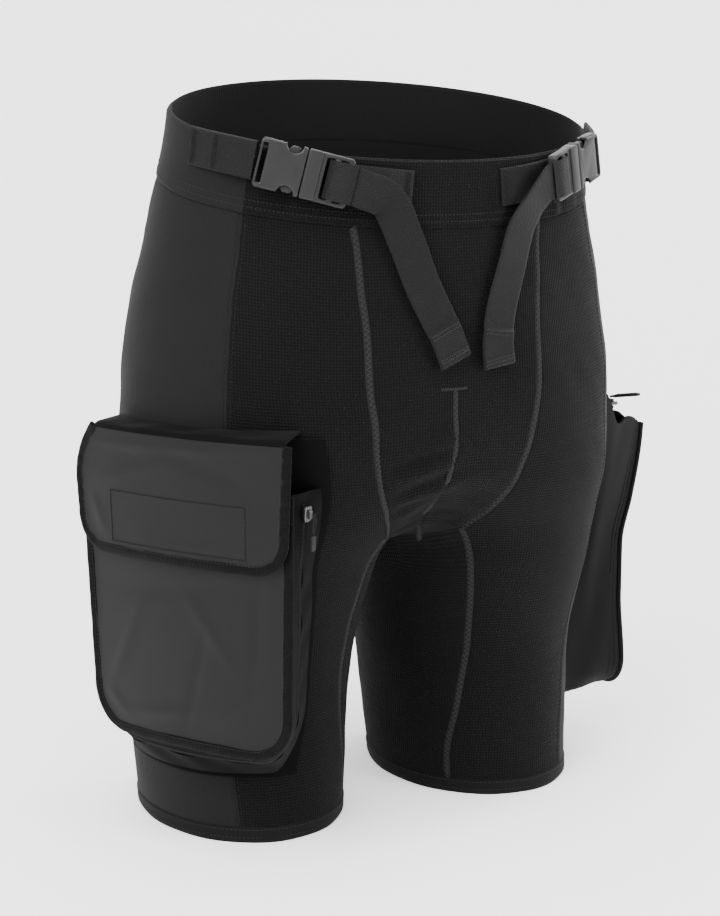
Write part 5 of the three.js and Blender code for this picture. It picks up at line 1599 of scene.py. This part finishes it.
# %% [markdown]
# Webbing is a flat band with rounded edges. It is swept along a smooth line that knows the
# direction away from the body, so it lies on the waistband and then bends round the bars.

# %% Webbing
def smooth_line(stops, count):
    """A centripetal Catmull-Rom curve through the stops, sampled evenly."""
    p = np.asarray(stops, float)
    p = np.concatenate([[2 * p[0] - p[1]], p, [2 * p[-1] - p[-2]]])
    knots = np.concatenate([[0], np.sqrt(np.linalg.norm(np.diff(p, axis=0), axis=1)).cumsum()])
    pieces = []
    for i in range(1, len(p) - 2):
        t = np.linspace(knots[i], knots[i + 1], 60, endpoint=i == len(p) - 3)[:, None]
        t0, t1, t2, t3 = knots[i - 1:i + 3]
        a1 = (t1 - t) / (t1 - t0) * p[i - 1] + (t - t0) / (t1 - t0) * p[i]
        a2 = (t2 - t) / (t2 - t1) * p[i] + (t - t1) / (t2 - t1) * p[i + 1]
        a3 = (t3 - t) / (t3 - t2) * p[i + 1] + (t - t2) / (t3 - t2) * p[i + 2]
        b1 = (t2 - t) / (t2 - t0) * a1 + (t - t0) / (t2 - t0) * a2
        b2 = (t3 - t) / (t3 - t1) * a2 + (t - t1) / (t3 - t1) * a3
        pieces.append((t2 - t) / (t2 - t1) * b1 + (t - t1) / (t2 - t1) * b2)
    line = np.concatenate(pieces)
    far = np.concatenate([[0], np.linalg.norm(np.diff(line, axis=0), axis=1).cumsum()])
    even = np.linspace(0, far[-1], count)
    return np.stack([np.interp(even, far, line[:, k]) for k in range(3)], axis=-1)


def band(name, stops, outs, width, thick, nodes, body, count=120, flip=1):
    line = smooth_line(stops, count)
    share = np.linspace(0, len(outs) - 1, count)
    outs = np.asarray(outs, float)
    rough = np.stack([np.interp(share, np.arange(len(outs)), outs[:, k]) for k in range(3)], axis=-1)
    tangent = np.gradient(line, axis=0)
    tangent /= np.linalg.norm(tangent, axis=-1, keepdims=True)
    side = np.cross(tangent, rough)
    side /= np.linalg.norm(side, axis=-1, keepdims=True)
    out = np.cross(side, tangent)
    thick = np.broadcast_to(thick, (count,)).astype(float)
    across = np.sin(np.linspace(-np.pi / 2, np.pi / 2, 17)) / 2
    drop = 0.42 * np.clip((np.abs(across) - 0.44) / 0.06, 0, 1) ** 2
    low = line[None] + across[:, None, None] * width * side[None] + (thick * drop[:, None])[...,
                                                            None] * out[None]
    top = line[None] + across[:, None, None] * width * side[None] + (thick * (1 - drop[:, None]))[...,
                                                            None] * out[None]
    obj = keep(sheet(name, low, top, WEB, sharp=70), body, "nylon_webbing", *nodes)
    length = np.linalg.norm(np.diff(line, axis=0), axis=1).sum()
    return line, side, out, thick, length


def bar_tack(line, side, out, thick, at, width, height=1.0):
    i = int(np.clip(at * (len(line) - 1), 1, len(line) - 2))
    across = np.linspace(-0.46, 0.46, 40)[:, None] * width
    rows = []
    tangent = unit(line[i + 1] - line[i - 1])
    for shift in (-height, height):
        rows.append((line[i] + across * side[i] + tangent * shift + out[i] * (thick[i] + 0.15),
                     np.broadcast_to(out[i], (40, 3))))
    return rows


for side, hand in ((-1, "right"), (1, "left")):
    along, up, out, origin = buckle(side, hand)
    local = lambda x, y, z: origin + along * x + up * y + out * z
    square = lambda angle: out_of(side, angle, float(strap_height(angle)))
    belt = [skin(side, angle, float(strap_height(angle)), lift) for angle,
            lift in ((76.5, 4.3), (68, 4.7), (60, 7.2))]
    line, across, away, thick, length = band(f"belt_webbing_{hand}_strap", belt + [local(-31.6, 0, -1.6)],
                                             [square(76.5), square(68), square(60), out], 25, 3.2,
                                             [f"belt_webbing_{hand}"], BODY)
    stitches(f"belt_webbing_{hand}_stitching", bar_tack(line, across, away, thick, 0.42, 23) +
             bar_tack(line, across, away, thick, 0.08, 23), THREAD_DARK, pitch=1.2, length=2.2,
             radius=0.3, zigzag=65)
    anchor = [skin(side, angle, float(strap_height(angle)), 4.9) for angle in (12, 18, 24, 30)]
    line, across, away, thick, length = band(f"strap_anchor_{hand}_strap", anchor,
                                             [square(a) for a in (12, 18, 24, 30)],
                                             25, 1.6, [f"strap_anchor_{hand}"], BODY, 60)
    stitches(f"strap_anchor_{hand}_stitching", bar_tack(line, across, away, thick, 0.1, 23), THREAD_DARK,
             pitch=1.2,
             length=2.2, radius=0.3, zigzag=65)
    hang = ([(18.5, 443, 10), (14, 420, 7.5), (8, 387, 6.8), (1, 357, 6.6)] if side < 0
            else [(17.5, 425, 9), (12.5, 397, 7.5), (7.5, 369, 6.8), (4, 346, 6.6)])
    tip = np.array([-5.0 if side < 0 else 29.0, -118 - 6.0, 336.0 if side < 0 else 331.0])
    stops = [local(32.4, 0, 0), local(40, side, 0)] + [skin(side, a, float(z), lift) for a, z,
                                                       lift in hang] + [tip]
    outs = [out, out] + [out_of(side, a, float(z)) for a, z, lift in hang] + [np.array([0, -1.0, 0])]
    count = 150
    length = np.linalg.norm(np.diff(smooth_line(stops, 200), axis=0), axis=1).sum()
    share = np.linspace(0, 1, count)
    fold = 1 - 26 / length
    thick = 1.6 * (1 + 1.1 / (1 + np.exp(-(share - fold) * 260)))
    thick = thick * (1 - 0.55 * np.clip((share - 1 + 1.6 / length) * length / 1.6, 0, 1) ** 2)
    line, across, away, thick, length = band(f"strap_tail_{hand}_strap", stops, outs, 25, thick,
                                             [f"strap_tail_{hand}"], f"tail_{hand}", count)
    stitches(f"strap_tail_{hand}_stitching", bar_tack(line, across, away, thick, fold + 3.5 / length, 23, 1.2)
             + bar_tack(line, across, away, thick, 1 - 5.0 / length, 23, 1.0), THREAD_GREY, pitch=1.1,
             length=2.3,
             radius=0.3, zigzag=62, body=f"tail_{hand}")
    loop = [local(32.6, 0, 2.2), local(27, 0, 4.6), local(21.5, 0, 5.2), local(17.5, 0, 4.9),
            local(14.5, 0, 2.0)]
    line = smooth_line(loop, 40)
    tangent = np.gradient(line, axis=0)
    side_dir = np.broadcast_to(up, line.shape)
    away = np.cross(side_dir, tangent)
    away /= np.linalg.norm(away, axis=-1, keepdims=True)
    away *= np.sign((away * out).sum(-1).mean())
    across_line = np.sin(np.linspace(-np.pi / 2, np.pi / 2, 13)) / 2 * 25
    low = line[None] + across_line[:, None, None] * side_dir[None]
    loop_obj = sheet(f"lock_webbing_{hand}", low - 0.8 * away[None], low + 0.8 * away[None], WEB)
    keep(loop_obj, f"tongue_{hand}", "nylon_webbing")
print("straps and buckles made")

# %% [markdown]
# ## Studio
# The floor is plain and pale. Large soft lights from above and both sides show the folds of
# black cloth, which need more light from the side than a pale object would.

# %% Floor and lights
floor_mesh = bpy.data.meshes.new("studio_floor")
r, bend_y, top = 3.0, 1.2, 2.4
profile = [(-r, 0.0), (bend_y - 0.6, 0.0)] + [(bend_y - 0.6 + 0.6 * np.sin(t), 0.6 - 0.6 * np.cos(t))
                                             for t in np.linspace(0.1, np.pi / 2, 12)] + [(bend_y, top)]
turned = Matrix.Rotation(AZIMUTH, 3, "Z")
points = []
for y, z in profile:
    for x in (-r, r):
        points.append(tuple(turned @ Vector((x, y, z))))
faces = [(2 * i, 2 * i + 1, 2 * i + 3, 2 * i + 2) for i in range(len(profile) - 1)]
floor_mesh.from_pydata(points, [], faces)
floor_mesh.shade_smooth()
floor = bpy.data.objects.new("studio_floor", floor_mesh)
bpy.context.scene.collection.objects.link(floor)
paper, tree, shader = new_material("studio_paper")
shader.inputs["Base Color"].default_value = (0.92, 0.92, 0.92, 1)
shader.inputs["Roughness"].default_value = 0.9
shader.inputs["Emission Color"].default_value = (1, 1, 1, 1)
shader.inputs["Emission Strength"].default_value = 0.6
floor_mesh.materials.append(paper)

world = bpy.data.worlds.new("studio")
world.use_nodes = True
world.node_tree.nodes["Background"].inputs[0].default_value = (1, 1, 1, 1)
world.node_tree.nodes["Background"].inputs[1].default_value = 0.85
bpy.context.scene.world = world


def soft_light(name, azimuth, elevation, distance, size, power):
    light = bpy.data.lights.new(name, "AREA")
    light.shape, light.size, light.energy = "DISK", size, power
    obj = bpy.data.objects.new(name, light)
    bpy.context.scene.collection.objects.link(obj)
    az, el = np.radians(azimuth), np.radians(elevation)
    away = Vector((np.sin(az) * np.cos(el), -np.cos(az) * np.cos(el), np.sin(el)))
    obj.location = target + away * distance
    obj.rotation_euler = away.to_track_quat("Z", "Y").to_euler()


soft_light("key", -62, 38, 1.7, 1.2, 50)
soft_light("fill", 34, 20, 1.8, 1.2, 30)
soft_light("top", -20, 82, 1.6, 1.4, 26)
soft_light("rim", 110, 25, 1.8, 1.0, 22)

# %% [markdown]
# ## Sizes
# The flat size of each cloth sheet is worked out from its outer face and printed.

# %% Sizes and finish
import json
for name, outer in OUTER_FACES.items():
    if name in SIZES or not name.endswith("_cloth"):
        continue
    obj = bpy.data.objects[name]
    cut_size(obj, outer)
    width, length, area = SIZES[name]
print("flat sizes:", {k: [round(n, 3) for n in v] for k, v in SIZES.items()})
bpy.context.view_layer.update()
